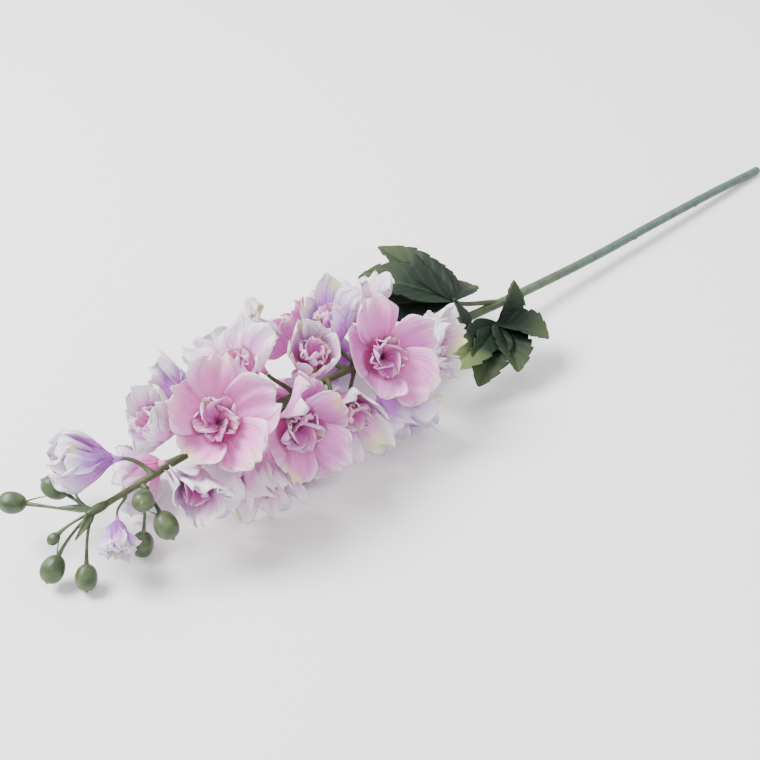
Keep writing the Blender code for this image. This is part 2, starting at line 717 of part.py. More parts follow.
def wire_tube(name, radius, start, end):
    """A straight-sided tube along the stem's axis between two stations."""
    stations = np.linspace(start, end, WIRE_RINGS)
    path = np.array([stem_axis(x) for x in stations])
    path[:, 0] = stations
    return add_tube(name, path, [radius] * len(path), WIRE_SIDES)


def build_wire():
    """The steel wire in the stem's bore."""
    wire = wire_tube("stem_wire", WIRE_RADIUS, STEM_CUT - WIRE_RECESS, WIRE_INNER_END)
    finish(wire, material("wire", roughness=0.35, metallic=1.0), 40)


# Leaves

def lobe_points(palm, lobe):
    """A toothed lobe's mid-surface: folded along its rib, arched from the palm to its tip."""
    palm = np.asarray(palm, dtype=float)
    tip = np.asarray(lobe.tip, dtype=float)
    face = np.asarray(lobe.face, dtype=float)
    run = tip - palm
    face = unit(face - unit(run) * (face @ unit(run)))
    teeth = []
    for k in range(LEAF_TEETH):
        notch = 0.40 + 0.56 * k / LEAF_TEETH
        teeth.append((notch, 1 - LEAF_TOOTH_DEPTH))
        teeth.append((notch + 0.05, 1.0))
    outline = [(0.0, 1.0)] + teeth + [(1.0, 0.06)]
    rows = []
    for v, cut_back in outline:
        centre = palm + run * v + face * lobe.arch * 4 * v * (1 - v)
        tangent = unit(run + face * lobe.arch * 4 * (1 - 2 * v))
        side = unit(np.cross(tangent, face))
        up = np.cross(side, tangent)
        body = LEAF_ROOT_WIDTH + (1 - LEAF_ROOT_WIDTH) * math.sin(math.pi / 2 * min(1.0, v / 0.42))
        taper = 1.0 if v < 0.62 else 1 - 0.75 * ((v - 0.62) / 0.38) ** 1.3
        half = lobe.half_width * body * taper * cut_back if v < 1 else lobe.half_width * cut_back
        row = [centre + side * half * u + up * half * LEAF_FOLD * (abs(u) * 2 - 1)
               for u in (-1.0, 0.0, 1.0)]
        rows.append(row)
    return np.array(rows)


def build_leaf(number, leaf):
    """A palmate leaf: its lobes fused at the palm, with the boss that the petiole meets."""
    facing = unit(leaf.facing)
    foot = np.asarray(leaf.palm, dtype=float) - facing * LEAF_BOSS_HEIGHT
    profile = ((0, LEAF_BOSS_RADIUS), (LEAF_BOSS_HEIGHT + 1.0, LEAF_BOSS_RADIUS * 1.2))
    pieces = [add_turned("boss", foot, facing, profile, 6)]
    for lobe in leaf.lobes:
        pieces.append(add_blade("lobe", lobe_points(leaf.palm, lobe), LEAF_THICKNESS))
    finish(fuse(f"leaf_{number}", pieces), material("leaf", roughness=0.6), 30)


# Buds

def bud_pieces(hub, bud, bow):
    """A bud with its stalk from the hub and, on some, the thin spur at its stalk end."""
    middle = np.asarray(bud.middle, dtype=float)
    point = unit(bud.point)
    profile = [(height * bud.diameter * 1.12, radius * bud.diameter) for height, radius in BUD_PROFILE]
    solid = add_turned("bud", middle, point, profile, BUD_SIDES)
    neck = middle - point * bud.diameter * 0.6
    span = np.linalg.norm(neck - hub)
    leave = unit(neck - hub + np.asarray(bow) * span * 0.5)
    path = bezier(hub, hub + leave * span * 0.35, neck - point * span * 0.3, neck, 4)
    radii = np.linspace(STALK_RADIUS * 1.15, STALK_RADIUS, len(path))
    pieces = [solid, add_tube("stalk", path, radii, STALK_SIDES)]
    if bud.spur:
        aside = unit(np.cross(point, (0.2, 0.3, 1.0)))
        start = neck + point * 1.5
        path = bezier(start, start + aside * bud.spur * 0.4 - point * 2,
                      start + aside * bud.spur * 0.6 - point * bud.spur * 0.5,
                      start + aside * bud.spur * 0.9 - point * bud.spur * 0.8, 5)
        pieces.append(add_tube("spur", path, np.linspace(SPUR_RADIUS, SPUR_RADIUS * 0.5, 5), 4))
    return pieces


def bract_points(root, tip, half_width):
    """A small pointed bract's mid-surface."""
    root = np.asarray(root, dtype=float)
    run = np.asarray(tip, dtype=float) - root
    side = unit(np.cross(run, (0.3, -0.5, 0.8)))
    up = unit(np.cross(side, run))
    rows = []
    for v, half, rise in ((0.0, 0.5, 0.0), (0.35, 1.0, 0.6), (0.7, 0.7, 0.5), (1.0, 0.1, -0.6)):
        centre = root + run * v + up * rise
        rows.append([centre + side * half * half_width * u + up * abs(u) * 0.6 for u in (-1, 0, 1)])
    return np.array(rows)


def build_tip_spray():
    """The branching tip: a hub against the stem's end, with buds and bracts."""
    hub = stem_axis(STEM_TIP) - np.array([TOUCH_GAP, 0, 0])
    profile = ((0, stem_radius(STEM_TIP)), *HUB_PROFILE)
    pieces = [add_turned("hub", hub, (-1, 0, 0), profile, 8)]
    root = hub + np.array([-HUB_ROOT, 0, 0])
    for bud in TIP_BUDS:
        pieces.extend(bud_pieces(root, bud, TIP_BOW))
    for bract_tip, half_width in TIP_BRACTS:
        pieces.append(add_blade("bract", bract_points(root, bract_tip, half_width), LEAF_THICKNESS))
    finish(fuse("bud_spray_tip", pieces), material("bud", roughness=0.6), 60)


def build_side_spray():
    """The side spray: three buds on stalks from a stub against the stem's side."""
    way = unit(SIDE_WAY)
    foot = stem_axis(SIDE_STATION) + way * (stem_radius(SIDE_STATION) + TOUCH_GAP + STUB_GAP)
    pieces = [add_turned("stub", foot, way, STUB_PROFILE, 6)]
    root = foot + way * STUB_ROOT
    for bud in SIDE_BUDS:
        pieces.extend(bud_pieces(root, bud, SIDE_BOW))
    finish(fuse("bud_spray_side", pieces), material("bud", roughness=0.6), 60)


# Whole spray

def centre_on_table():
    """Moves the whole spray so that the origin is under the middle of its box."""
    bodies = [obj for obj in bpy.data.objects if obj.type == "MESH"]
    corners = np.array([v.co[:] for body in bodies for v in body.data.vertices])
    low = corners.min(axis=0)
    high = corners.max(axis=0)
    shift = np.array([-(low[0] + high[0]) / 2, -(low[1] + high[1]) / 2, -low[2]])
    for body in bodies:
        for vertex in body.data.vertices:
            vertex.co = vertex.co + type(vertex.co)(shift)


def main():
    """Builds every sub-part of the spray."""
    for obj in list(bpy.data.objects):
        bpy.data.objects.remove(obj)
    frames = [FloretFrame(floret) for floret in FLORETS]
    set_walls(frames)
    for frame in frames:
        frame.turn_petals()
    build_stem(frames)
    build_wire()
    for number, leaf in enumerate(LEAVES, start=1):
        build_leaf(number, leaf)
    build_tip_spray()
    build_side_spray()
    for number, frame in enumerate(frames, start=1):
        build_floret(number, frame)
    centre_on_table()


main()
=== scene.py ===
# %% [markdown]
# # A silk larkspur spray
# The part is a made flower: a moulded plastic stem with a steel wire in it, two fabric leaves, a
# dense head of fabric florets and green plastic buds at the tip. It lies on a table, as bought.
# The solid model is the fixed frame. This script puts the finished surfaces on it: every petal,
# leaf and bud is drawn again by the rule that placed its solid, only much finer.

# %% Load the frame
import json
import math
import random
from collections import namedtuple

import bmesh
import bpy
import numpy as np
from mathutils import Matrix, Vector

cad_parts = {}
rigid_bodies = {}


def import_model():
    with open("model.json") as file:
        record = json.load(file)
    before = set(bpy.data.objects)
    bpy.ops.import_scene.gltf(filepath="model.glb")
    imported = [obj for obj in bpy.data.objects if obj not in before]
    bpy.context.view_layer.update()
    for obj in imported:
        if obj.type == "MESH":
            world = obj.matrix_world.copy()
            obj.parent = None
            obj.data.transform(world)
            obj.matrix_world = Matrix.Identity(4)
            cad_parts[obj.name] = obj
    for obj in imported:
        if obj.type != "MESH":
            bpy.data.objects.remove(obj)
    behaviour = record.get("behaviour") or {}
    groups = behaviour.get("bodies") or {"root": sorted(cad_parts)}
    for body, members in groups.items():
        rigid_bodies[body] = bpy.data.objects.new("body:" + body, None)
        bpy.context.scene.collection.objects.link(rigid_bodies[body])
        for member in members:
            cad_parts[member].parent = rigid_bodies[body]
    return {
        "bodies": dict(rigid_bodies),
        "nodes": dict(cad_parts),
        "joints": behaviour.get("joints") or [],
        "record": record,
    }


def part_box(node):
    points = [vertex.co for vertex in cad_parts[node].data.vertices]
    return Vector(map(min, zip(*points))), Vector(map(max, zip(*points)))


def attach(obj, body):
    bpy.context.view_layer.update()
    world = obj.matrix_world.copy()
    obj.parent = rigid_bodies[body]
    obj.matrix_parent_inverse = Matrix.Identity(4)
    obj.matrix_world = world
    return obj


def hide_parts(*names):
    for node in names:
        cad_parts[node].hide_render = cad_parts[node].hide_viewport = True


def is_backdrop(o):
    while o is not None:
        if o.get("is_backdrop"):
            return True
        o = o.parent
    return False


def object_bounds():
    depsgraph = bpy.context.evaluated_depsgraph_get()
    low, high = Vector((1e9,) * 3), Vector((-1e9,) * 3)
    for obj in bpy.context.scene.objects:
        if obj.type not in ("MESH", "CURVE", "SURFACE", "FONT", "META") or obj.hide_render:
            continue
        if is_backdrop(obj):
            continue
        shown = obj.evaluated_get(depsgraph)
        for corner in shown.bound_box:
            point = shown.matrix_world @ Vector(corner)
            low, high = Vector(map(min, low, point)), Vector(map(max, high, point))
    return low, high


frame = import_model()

cad_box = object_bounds()
print("frame:", len(frame["nodes"]), "nodes, box", [tuple(round(c, 4) for c in p) for p in cad_box])

# %% [markdown]
# ## One coordinate system
# Places are in millimetres along the stem: x is the station, counted so that the cut end is at 310,
# y is sideways and z is the height over the table. The frame is centred on the whole spray's box, so
# two of its nodes tell how far the stem's own coordinates are moved: the stem ends at the cut, and
# the wire runs down the stem's middle.

# %% Places in millimetres
STEM_CUT = 310.0
STEM_TIP = -300.0
METRES = 0.001

stem_low, stem_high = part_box("stem")
wire_low, wire_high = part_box("stem_wire")
SHIFT = np.array([stem_high.x - STEM_CUT * METRES, (wire_low.y + wire_high.y) / 2, 0.0])


def place(points):
    """Points in spray millimetres as points of the frame in metres."""
    return np.asarray(points, dtype=float) * METRES + SHIFT


def unit(vector):
    """The vector at length 1."""
    vector = np.asarray(vector, dtype=float)
    return vector / np.linalg.norm(vector)


print("the spray's own axis is moved by", SHIFT.round(5).tolist())

# %% [markdown]
# ## Camera
# The picture looks down on the spray from its flower end, 40 degrees above the table. The camera's
# place and lens were worked out from how much the 7 mm stem narrows from the leaves to the cut end.

# %% Camera
CAMERA_PLACE = (-460.9, -388.2, 453.4)
CAMERA_VIEW = (0.5144, 0.5677, -0.6428)
CAMERA_LENS = 52.1
CAMERA_SENSOR = 36.0

camera_data = bpy.data.cameras.new("camera")
camera_data.lens = CAMERA_LENS
camera_data.sensor_width = CAMERA_SENSOR
camera = bpy.data.objects.new("camera", camera_data)
bpy.context.scene.collection.objects.link(camera)
view = unit(CAMERA_VIEW)
right = unit(np.cross(view, (0, 0, 1)))
up = np.cross(right, view)
turned = Matrix(np.column_stack((right, up, -view)).tolist()).to_4x4()
camera.matrix_world = Matrix.Translation(place(CAMERA_PLACE)) @ turned
bpy.context.scene.camera = camera
print("camera", camera.location)

# %% [markdown]
# ## Colour and nodes
# Colours are written as sRGB hex values, as a paint picker shows them, and one function turns them
# into the linear values that a shader works in. One more adds any node, with its settings and links.

# %% Colour and node helpers


def colour(hex_value, alpha=1.0):
    """A linear colour from an sRGB hex value."""
    parts = [int(hex_value[k:k + 2], 16) / 255 for k in (1, 3, 5)]
    linear = [p / 12.92 if p <= 0.04045 else ((p + 0.055) / 1.055) ** 2.4 for p in parts]
    return (*linear, alpha)


def add_node(tree, kind, links=None, **settings):
    """Adds a node with its settings; links maps input names to sockets or plain values."""
    made = tree.nodes.new(kind)
    for name, value in settings.items():
        setattr(made, name, value)
    for name, value in (links or {}).items():
        if isinstance(value, bpy.types.NodeSocket):
            tree.links.new(value, made.inputs[name])
        else:
            made.inputs[name].default_value = value
    return made


def new_material(name):
    """An empty node material with its Principled shader and its output."""
    made = bpy.data.materials.new(name)
    made.use_nodes = True
    tree = made.node_tree
    return made, tree, tree.nodes["Principled BSDF"]


print("sRGB #808080 is", round(colour("#808080")[0], 3), "in linear light")


# %% [markdown]
# ## Table and light
# A plain pale table and big soft lights, as for a catalogue picture. A large key light stands behind
# and to the left, a wide fill hangs over the camera, and the pale surroundings lift the shadows.

# %% Table and light
TABLE_SIZE = 6.0
LIGHTS = (
    ("key", (-0.9, 0.9, 1.7), 1.0, 105.0),
    ("fill", (-0.6, -1.3, 1.5), 1.8, 20.0),
    ("side", (1.3, 0.1, 1.2), 1.2, 14.0),
)

table_mesh = bpy.data.meshes.new("table")
half = TABLE_SIZE / 2
table_mesh.from_pydata([(-half, -half, 0), (half, -half, 0), (half, half, 0), (-half, half, 0)],
                       [], [(0, 1, 2, 3)])
table = bpy.data.objects.new("table", table_mesh)
bpy.context.scene.collection.objects.link(table)
table_paint, table_tree, table_shader = new_material("matt_white_laminate")
table_shader.inputs["Base Color"].default_value = colour("#F2F1F0")
table_shader.inputs["Roughness"].default_value = 0.9
table_mesh.materials.append(table_paint)
table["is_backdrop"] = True

world = bpy.data.worlds.new("studio")
bpy.context.scene.world = world
world.use_nodes = True
background = world.node_tree.nodes["Background"]
background.inputs["Color"].default_value = colour("#F7F8FA")
background.inputs["Strength"].default_value = 0.85

for light_name, light_place, light_size, watts in LIGHTS:
    light_data = bpy.data.lights.new(light_name, "AREA")
    light_data.size = light_size
    light_data.energy = watts
    light = bpy.data.objects.new(light_name, light_data)
    aim = -unit(light_place)
    side = unit(np.cross(aim, (0, 0, 1)))
    light.matrix_world = (Matrix.Translation(light_place)
                          @ Matrix(np.column_stack((side, np.cross(side, aim), -aim)).tolist()).to_4x4())
    bpy.context.scene.collection.objects.link(light)
print("lights:", [entry[0] for entry in LIGHTS])

# %% [markdown]
# ## Dyed petal cloth
# The petals are stamped from thin woven polyester, dipped in dye and pressed into shape while warm.
# The dye is strongest in the throat, fades through pink or lilac and leaves the rims nearly white;
# some tips are touched with yellow green. So the colour follows each petal's own map: across its
# width and from root to tip, with streaks along the weave. Woven cloth has no gloss but a soft sheen.
# The real thread spacing, about 0.2 mm, is too fine for this picture, so it is drawn at 0.6 mm.

# %% Petal cloth
THREAD_SPACING = 0.6
WAVE_PERIOD = 2 * math.pi / 20


def petal_cloth(name, throat, body, edge, accent, tip, throat_end, edge_start):
    """Dyed petal cloth; throat_end and edge_start say where the dye changes along the petal."""
    made, tree, shader = new_material(name)
    across_along = add_node(tree, "ShaderNodeUVMap", uv_map="petal")
    split = add_node(tree, "ShaderNodeSeparateXYZ", {"Vector": across_along.outputs["UV"]})
    across, along = split.outputs["X"], split.outputs["Y"]
    tint = add_node(tree, "ShaderNodeAttribute", attribute_name="tint")
    shares = add_node(tree, "ShaderNodeSeparateColor", {"Color": tint.outputs["Color"]})
    middle = add_node(tree, "ShaderNodeMath", {0: across, 1: 0.5}, operation="SUBTRACT")
    off_middle = add_node(tree, "ShaderNodeMath", {0: middle.outputs[0]}, operation="ABSOLUTE")
    rim = add_node(tree, "ShaderNodeMath", {0: off_middle.outputs[0], 1: 3.0}, operation="POWER")

    # Streaks: noise stretched from root to tip, as dye runs along the threads
    stretch = add_node(tree, "ShaderNodeCombineXYZ", {"X": across, "Y": along})
    fan = add_node(tree, "ShaderNodeMapping", {"Vector": stretch.outputs[0], "Scale": (26, 2.2, 1)})
    own = add_node(tree, "ShaderNodeVectorMath",
                   {0: fan.outputs[0], 1: tint.outputs["Vector"]}, operation="ADD")
    streaks = add_node(tree, "ShaderNodeTexNoise", {"Vector": own.outputs[0], "Scale": 1.0,
                                                    "Detail": 3.0, "Roughness": 0.55})
    where = add_node(tree, "ShaderNodeTexCoord")
    clouds = add_node(tree, "ShaderNodeTexNoise", {"Vector": where.outputs["Object"],
                                                   "Scale": 90.0, "Detail": 3.0})
    wander = add_node(tree, "ShaderNodeMath", {0: streaks.outputs["Fac"], 1: 0.52, 2: along},
                      operation="MULTIPLY_ADD")
    wander = add_node(tree, "ShaderNodeMath", {0: clouds.outputs["Fac"], 1: 0.22,
                                               2: wander.outputs[0]}, operation="MULTIPLY_ADD")
    place_along = add_node(tree, "ShaderNodeMath", {0: wander.outputs[0], 1: 0.37},
                           operation="SUBTRACT")
    to_rim = add_node(tree, "ShaderNodeMath", {0: rim.outputs[0], 1: 2.6,
                                               2: place_along.outputs[0]}, operation="MULTIPLY_ADD")

    throat_share = add_node(tree, "ShaderNodeMapRange",
                            {"Value": place_along.outputs[0], "From Min": 0.02,
                             "From Max": throat_end, "To Min": 1.0, "To Max": 0.0},
                            interpolation_type="SMOOTHSTEP")
    edge_share = add_node(tree, "ShaderNodeMapRange",
                          {"Value": to_rim.outputs[0], "From Min": edge_start,
                           "From Max": edge_start + 0.4}, interpolation_type="SMOOTHSTEP")
    tip_along = add_node(tree, "ShaderNodeMapRange", {"Value": along, "From Min": 0.6,
                                                      "From Max": 0.97},
                         interpolation_type="SMOOTHSTEP")
    tip_middle = add_node(tree, "ShaderNodeMapRange", {"Value": off_middle.outputs[0],
                                                       "From Min": 0.36, "From Max": 0.05},
                          interpolation_type="SMOOTHSTEP")
    tip_share = add_node(tree, "ShaderNodeMath", {0: tip_along.outputs[0],
                                                  1: tip_middle.outputs[0]}, operation="MULTIPLY")
    tip_share = add_node(tree, "ShaderNodeMath", {0: tip_share.outputs[0],
                                                  1: shares.outputs["Green"]}, operation="MULTIPLY")
    blush = add_node(tree, "ShaderNodeMath", {0: clouds.outputs["Fac"], 1: shares.outputs["Blue"]},
                     operation="MULTIPLY")

    dyed = add_node(tree, "ShaderNodeMix", {0: blush.outputs[0], 6: colour(body),
                                            7: colour(accent)}, data_type="RGBA")
    dyed = add_node(tree, "ShaderNodeMix", {0: edge_share.outputs[0], 6: dyed.outputs[2],
                                            7: colour(edge)}, data_type="RGBA")
    dyed = add_node(tree, "ShaderNodeMix", {0: throat_share.outputs[0], 6: dyed.outputs[2],
                                            7: colour(throat)}, data_type="RGBA")
    dyed = add_node(tree, "ShaderNodeMix", {0: tip_share.outputs[0], 6: dyed.outputs[2],
                                            7: colour(tip)}, data_type="RGBA")
    shader.inputs["Roughness"].default_value = 0.72
    shader.inputs["Sheen Weight"].default_value = 0.25
    shader.inputs["Sheen Roughness"].default_value = 0.4
    shader.inputs["Subsurface Weight"].default_value = 0.35
    shader.inputs["Subsurface Radius"].default_value = (1.0, 0.6, 0.8)
    shader.inputs["Subsurface Scale"].default_value = 0.0015
    shader.inputs["Specular IOR Level"].default_value = 0.3
    tree.links.new(dyed.outputs[2], shader.inputs["Base Color"])

    # Weave: two sets of threads, crossing, and the pressed streaks on top of them
    cloth = add_node(tree, "ShaderNodeUVMap", uv_map="cloth")
    thread_scale = WAVE_PERIOD / THREAD_SPACING
    warp = add_node(tree, "ShaderNodeTexWave", {"Vector": cloth.outputs["UV"],
                                                "Scale": thread_scale}, bands_direction="X")
    weft = add_node(tree, "ShaderNodeTexWave", {"Vector": cloth.outputs["UV"],
                                                "Scale": thread_scale}, bands_direction="Y")
    weave = add_node(tree, "ShaderNodeMath", {0: warp.outputs["Fac"], 1: weft.outputs["Fac"]},
                     operation="MULTIPLY")
    threads = add_node(tree, "ShaderNodeBump", {"Height": weave.outputs[0], "Strength": 0.25,
                                                "Distance": 0.00008})
    folds = add_node(tree, "ShaderNodeBump", {"Height": streaks.outputs["Fac"], "Strength": 0.8,
                                              "Distance": 0.0016,
                                              "Normal": threads.outputs["Normal"]})
    tree.links.new(folds.outputs["Normal"], shader.inputs["Normal"])
    return made


PETAL_CLOTH = {
    "pale": petal_cloth("dyed_polyester_pale", "#D558AA", "#E7A3D3", "#EDE4EE", "#C193E0", "#ECE59A",
                        0.46, 0.52),
    "pink": petal_cloth("dyed_polyester_pink", "#D850A6", "#E88ECA", "#EFCFE5", "#D78BDA", "#F0DCA0",
                        0.50, 0.70),
    "lilac": petal_cloth("dyed_polyester_lilac", "#AA52C8", "#C185DF", "#E5DAF0", "#E09AD6",
                         "#E6E3B0", 0.44, 0.56),
    "throat": petal_cloth("dyed_polyester_throat", "#BE2F88", "#E07ABF", "#F0BFE0", "#CE73C8",
                          "#EFD9B4", 0.42, 0.66),
}
print("petal cloths:", sorted(PETAL_CLOTH))

# %% [markdown]
# ## Moulded plastic and leaf cloth
# Stem, stalks and buds are polyethylene, moulded in a matt tool: dull grey green near the cut end, more
# olive in the head, where a brown wash was brushed over it. The wash gathers in hollows, so its share
# follows a noise. Buds are the same plastic with a slight gloss and lighter patches scattered by a
# noise, which are painted highlights.
# Leaves are a heavier woven cloth with a dark green coating, satin rather than matt, and its veins are
# printed a little paler. Towards their tips the lobes are painted a lighter green, a painted highlight.
# The wire is drawn steel.

# %% Plastic, leaf cloth and steel


def stem_plastic():
    """Matt moulded polyethylene with a brown wash that grows stronger towards the head."""
    made, tree, shader = new_material("moulded_polyethylene_stem")
    where = add_node(tree, "ShaderNodeTexCoord")
    split = add_node(tree, "ShaderNodeSeparateXYZ", {"Vector": where.outputs["Object"]})
    head = add_node(tree, "ShaderNodeMapRange", {"Value": split.outputs["X"], "From Min": 0.16,
                                                 "From Max": -0.05},
                    interpolation_type="SMOOTHSTEP")
    patches = add_node(tree, "ShaderNodeTexNoise", {"Vector": where.outputs["Object"],
                                                    "Scale": 120.0, "Detail": 4.0})
    grain = add_node(tree, "ShaderNodeTexNoise", {"Vector": where.outputs["Object"],
                                                  "Scale": 900.0, "Detail": 2.0})
    wash = add_node(tree, "ShaderNodeMapRange", {"Value": patches.outputs["Fac"], "From Min": 0.42,
                                                 "From Max": 0.66})
    base = add_node(tree, "ShaderNodeMix", {0: head.outputs[0], 6: colour("#4C6157"),
                                            7: colour("#4A5A34")}, data_type="RGBA")
    brown = add_node(tree, "ShaderNodeMix", {0: head.outputs[0], 6: colour("#3A4C43"),
                                             7: colour("#433626")}, data_type="RGBA")
    share = add_node(tree, "ShaderNodeMath", {0: wash.outputs[0], 1: 0.75}, operation="MULTIPLY")
    dyed = add_node(tree, "ShaderNodeMix", {0: share.outputs[0], 6: base.outputs[2],
                                            7: brown.outputs[2]}, data_type="RGBA")
    tree.links.new(dyed.outputs[2], shader.inputs["Base Color"])
    rough = add_node(tree, "ShaderNodeMapRange", {"Value": grain.outputs["Fac"], "To Min": 0.5,
                                                  "To Max": 0.75})
    tree.links.new(rough.outputs[0], shader.inputs["Roughness"])
    shader.inputs["IOR"].default_value = 1.51
    lumps = add_node(tree, "ShaderNodeBump", {"Height": patches.outputs["Fac"], "Strength": 0.6,
                                              "Distance": 0.0006})
    skin = add_node(tree, "ShaderNodeBump", {"Height": grain.outputs["Fac"], "Strength": 0.4,
                                             "Distance": 0.0002, "Normal": lumps.outputs[0]})
    tree.links.new(skin.outputs[0], shader.inputs["Normal"])
    return made


def bud_plastic():
    """The buds' polyethylene: satin, with lighter patches of painted highlight and a fine skin."""
    made, tree, shader = new_material("moulded_polyethylene_bud")
    where = add_node(tree, "ShaderNodeTexCoord")
    patches = add_node(tree, "ShaderNodeTexNoise", {"Vector": where.outputs["Object"],
                                                    "Scale": 160.0, "Detail": 4.0})
    grain = add_node(tree, "ShaderNodeTexNoise", {"Vector": where.outputs["Object"],
                                                  "Scale": 1100.0, "Detail": 2.0})
    # Painted highlights: lighter green patches, scattered by a noise, mixed into the base colour
    painted_highlight_patches = add_node(tree, "ShaderNodeMapRange", {"Value": patches.outputs["Fac"],
                                                   "From Min": 0.4, "From Max": 0.7})
    dyed = add_node(tree, "ShaderNodeMix", {0: painted_highlight_patches.outputs[0], 6: colour("#2F3F22"),
                                            7: colour("#50613A")}, data_type="RGBA")
    tree.links.new(dyed.outputs[2], shader.inputs["Base Color"])
    rough = add_node(tree, "ShaderNodeMapRange", {"Value": grain.outputs["Fac"], "To Min": 0.36,
                                                  "To Max": 0.56})
    tree.links.new(rough.outputs[0], shader.inputs["Roughness"])
    shader.inputs["IOR"].default_value = 1.51
    skin = add_node(tree, "ShaderNodeBump", {"Height": grain.outputs["Fac"], "Strength": 0.35,
                                             "Distance": 0.00015})
    tree.links.new(skin.outputs[0], shader.inputs["Normal"])
    return made


def leaf_cloth():
    """Coated leaf cloth: dark green, satin, with paler printed veins along the leaf's own map and a
    painted highlight towards the lobe tips.
    """
    made, tree, shader = new_material("coated_polyester_leaf")
    leaf_map = add_node(tree, "ShaderNodeUVMap", uv_map="petal")
    split = add_node(tree, "ShaderNodeSeparateXYZ", {"Vector": leaf_map.outputs["UV"]})
    vein = add_node(tree, "ShaderNodeAttribute", attribute_name="tint")
    shares = add_node(tree, "ShaderNodeSeparateColor", {"Color": vein.outputs["Color"]})
    where = add_node(tree, "ShaderNodeTexCoord")
    patches = add_node(tree, "ShaderNodeTexNoise", {"Vector": where.outputs["Object"],
                                                    "Scale": 60.0, "Detail": 3.0})
    grain = add_node(tree, "ShaderNodeTexNoise", {"Vector": where.outputs["Object"],
                                                  "Scale": 1400.0, "Detail": 2.0})
    base = add_node(tree, "ShaderNodeMix", {0: patches.outputs["Fac"], 6: colour("#06100A"),
                                            7: colour("#102314")}, data_type="RGBA")
    # Painted highlight: lighter green towards each lobe's tip, as strong as the tint's green share
    painted_highlight_tip = add_node(tree, "ShaderNodeMapRange", {"Value": split.outputs["Y"], "From Min": 0.5,
                                                      "From Max": 1.0})
    tip_share = add_node(tree, "ShaderNodeMath", {0: painted_highlight_tip.outputs[0],
                                                  1: shares.outputs["Green"]}, operation="MULTIPLY")
    base = add_node(tree, "ShaderNodeMix", {0: tip_share.outputs[0], 6: base.outputs[2],
                                            7: colour("#96AC6A")}, data_type="RGBA")
    printed = add_node(tree, "ShaderNodeMath", {0: shares.outputs["Red"], 1: 0.55},
                       operation="MULTIPLY")
    dyed = add_node(tree, "ShaderNodeMix", {0: printed.outputs[0], 6: base.outputs[2],
                                            7: colour("#284326")}, data_type="RGBA")
    tree.links.new(dyed.outputs[2], shader.inputs["Base Color"])
    rough = add_node(tree, "ShaderNodeMapRange", {"Value": grain.outputs["Fac"], "To Min": 0.52,
                                                  "To Max": 0.72})
    shader.inputs["Specular IOR Level"].default_value = 0.3
    tree.links.new(rough.outputs[0], shader.inputs["Roughness"])
    skin = add_node(tree, "ShaderNodeBump", {"Height": grain.outputs["Fac"], "Strength": 0.3,
                                             "Distance": 0.00015})
    tree.links.new(skin.outputs[0], shader.inputs["Normal"])
    return made


def drawn_steel():
    """Drawn steel wire: bright, with fine scratches along its length."""
    made, tree, shader = new_material("drawn_steel_wire")
    where = add_node(tree, "ShaderNodeTexCoord")
    along = add_node(tree, "ShaderNodeMapping", {"Vector": where.outputs["Object"],
                                                 "Scale": (20.0, 2500.0, 2500.0)})
    scratches = add_node(tree, "ShaderNodeTexNoise", {"Vector": along.outputs[0], "Scale": 1.0})
    rough = add_node(tree, "ShaderNodeMapRange", {"Value": scratches.outputs["Fac"],
                                                  "To Min": 0.25, "To Max": 0.45})
    tree.links.new(rough.outputs[0], shader.inputs["Roughness"])
    shader.inputs["Base Color"].default_value = colour("#B9B8B4")
    shader.inputs["Metallic"].default_value = 1.0
    return made


STEM_PLASTIC = stem_plastic()
BUD_PLASTIC = bud_plastic()
LEAF_CLOTH = leaf_cloth()
STEEL = drawn_steel()
frame["nodes"]["stem_wire"].data.materials.clear()
frame["nodes"]["stem_wire"].data.materials.append(STEEL)
print("plastics, leaf cloth and steel are ready")

# %% [markdown]
# ## Blades
# A petal or a leaf lobe is a thin curved sheet. It is laid out as a grid of points on its middle
# surface, and both faces are set off from it by half the cloth's thickness. The faces share the
# points of the rim, so each blade is one closed skin. Two maps go with it: one from 0 to 1 across
# and along the blade, for the dye, and one in millimetres, for the weave.

# %% Blades
CLOTH_THICKNESS = 0.36


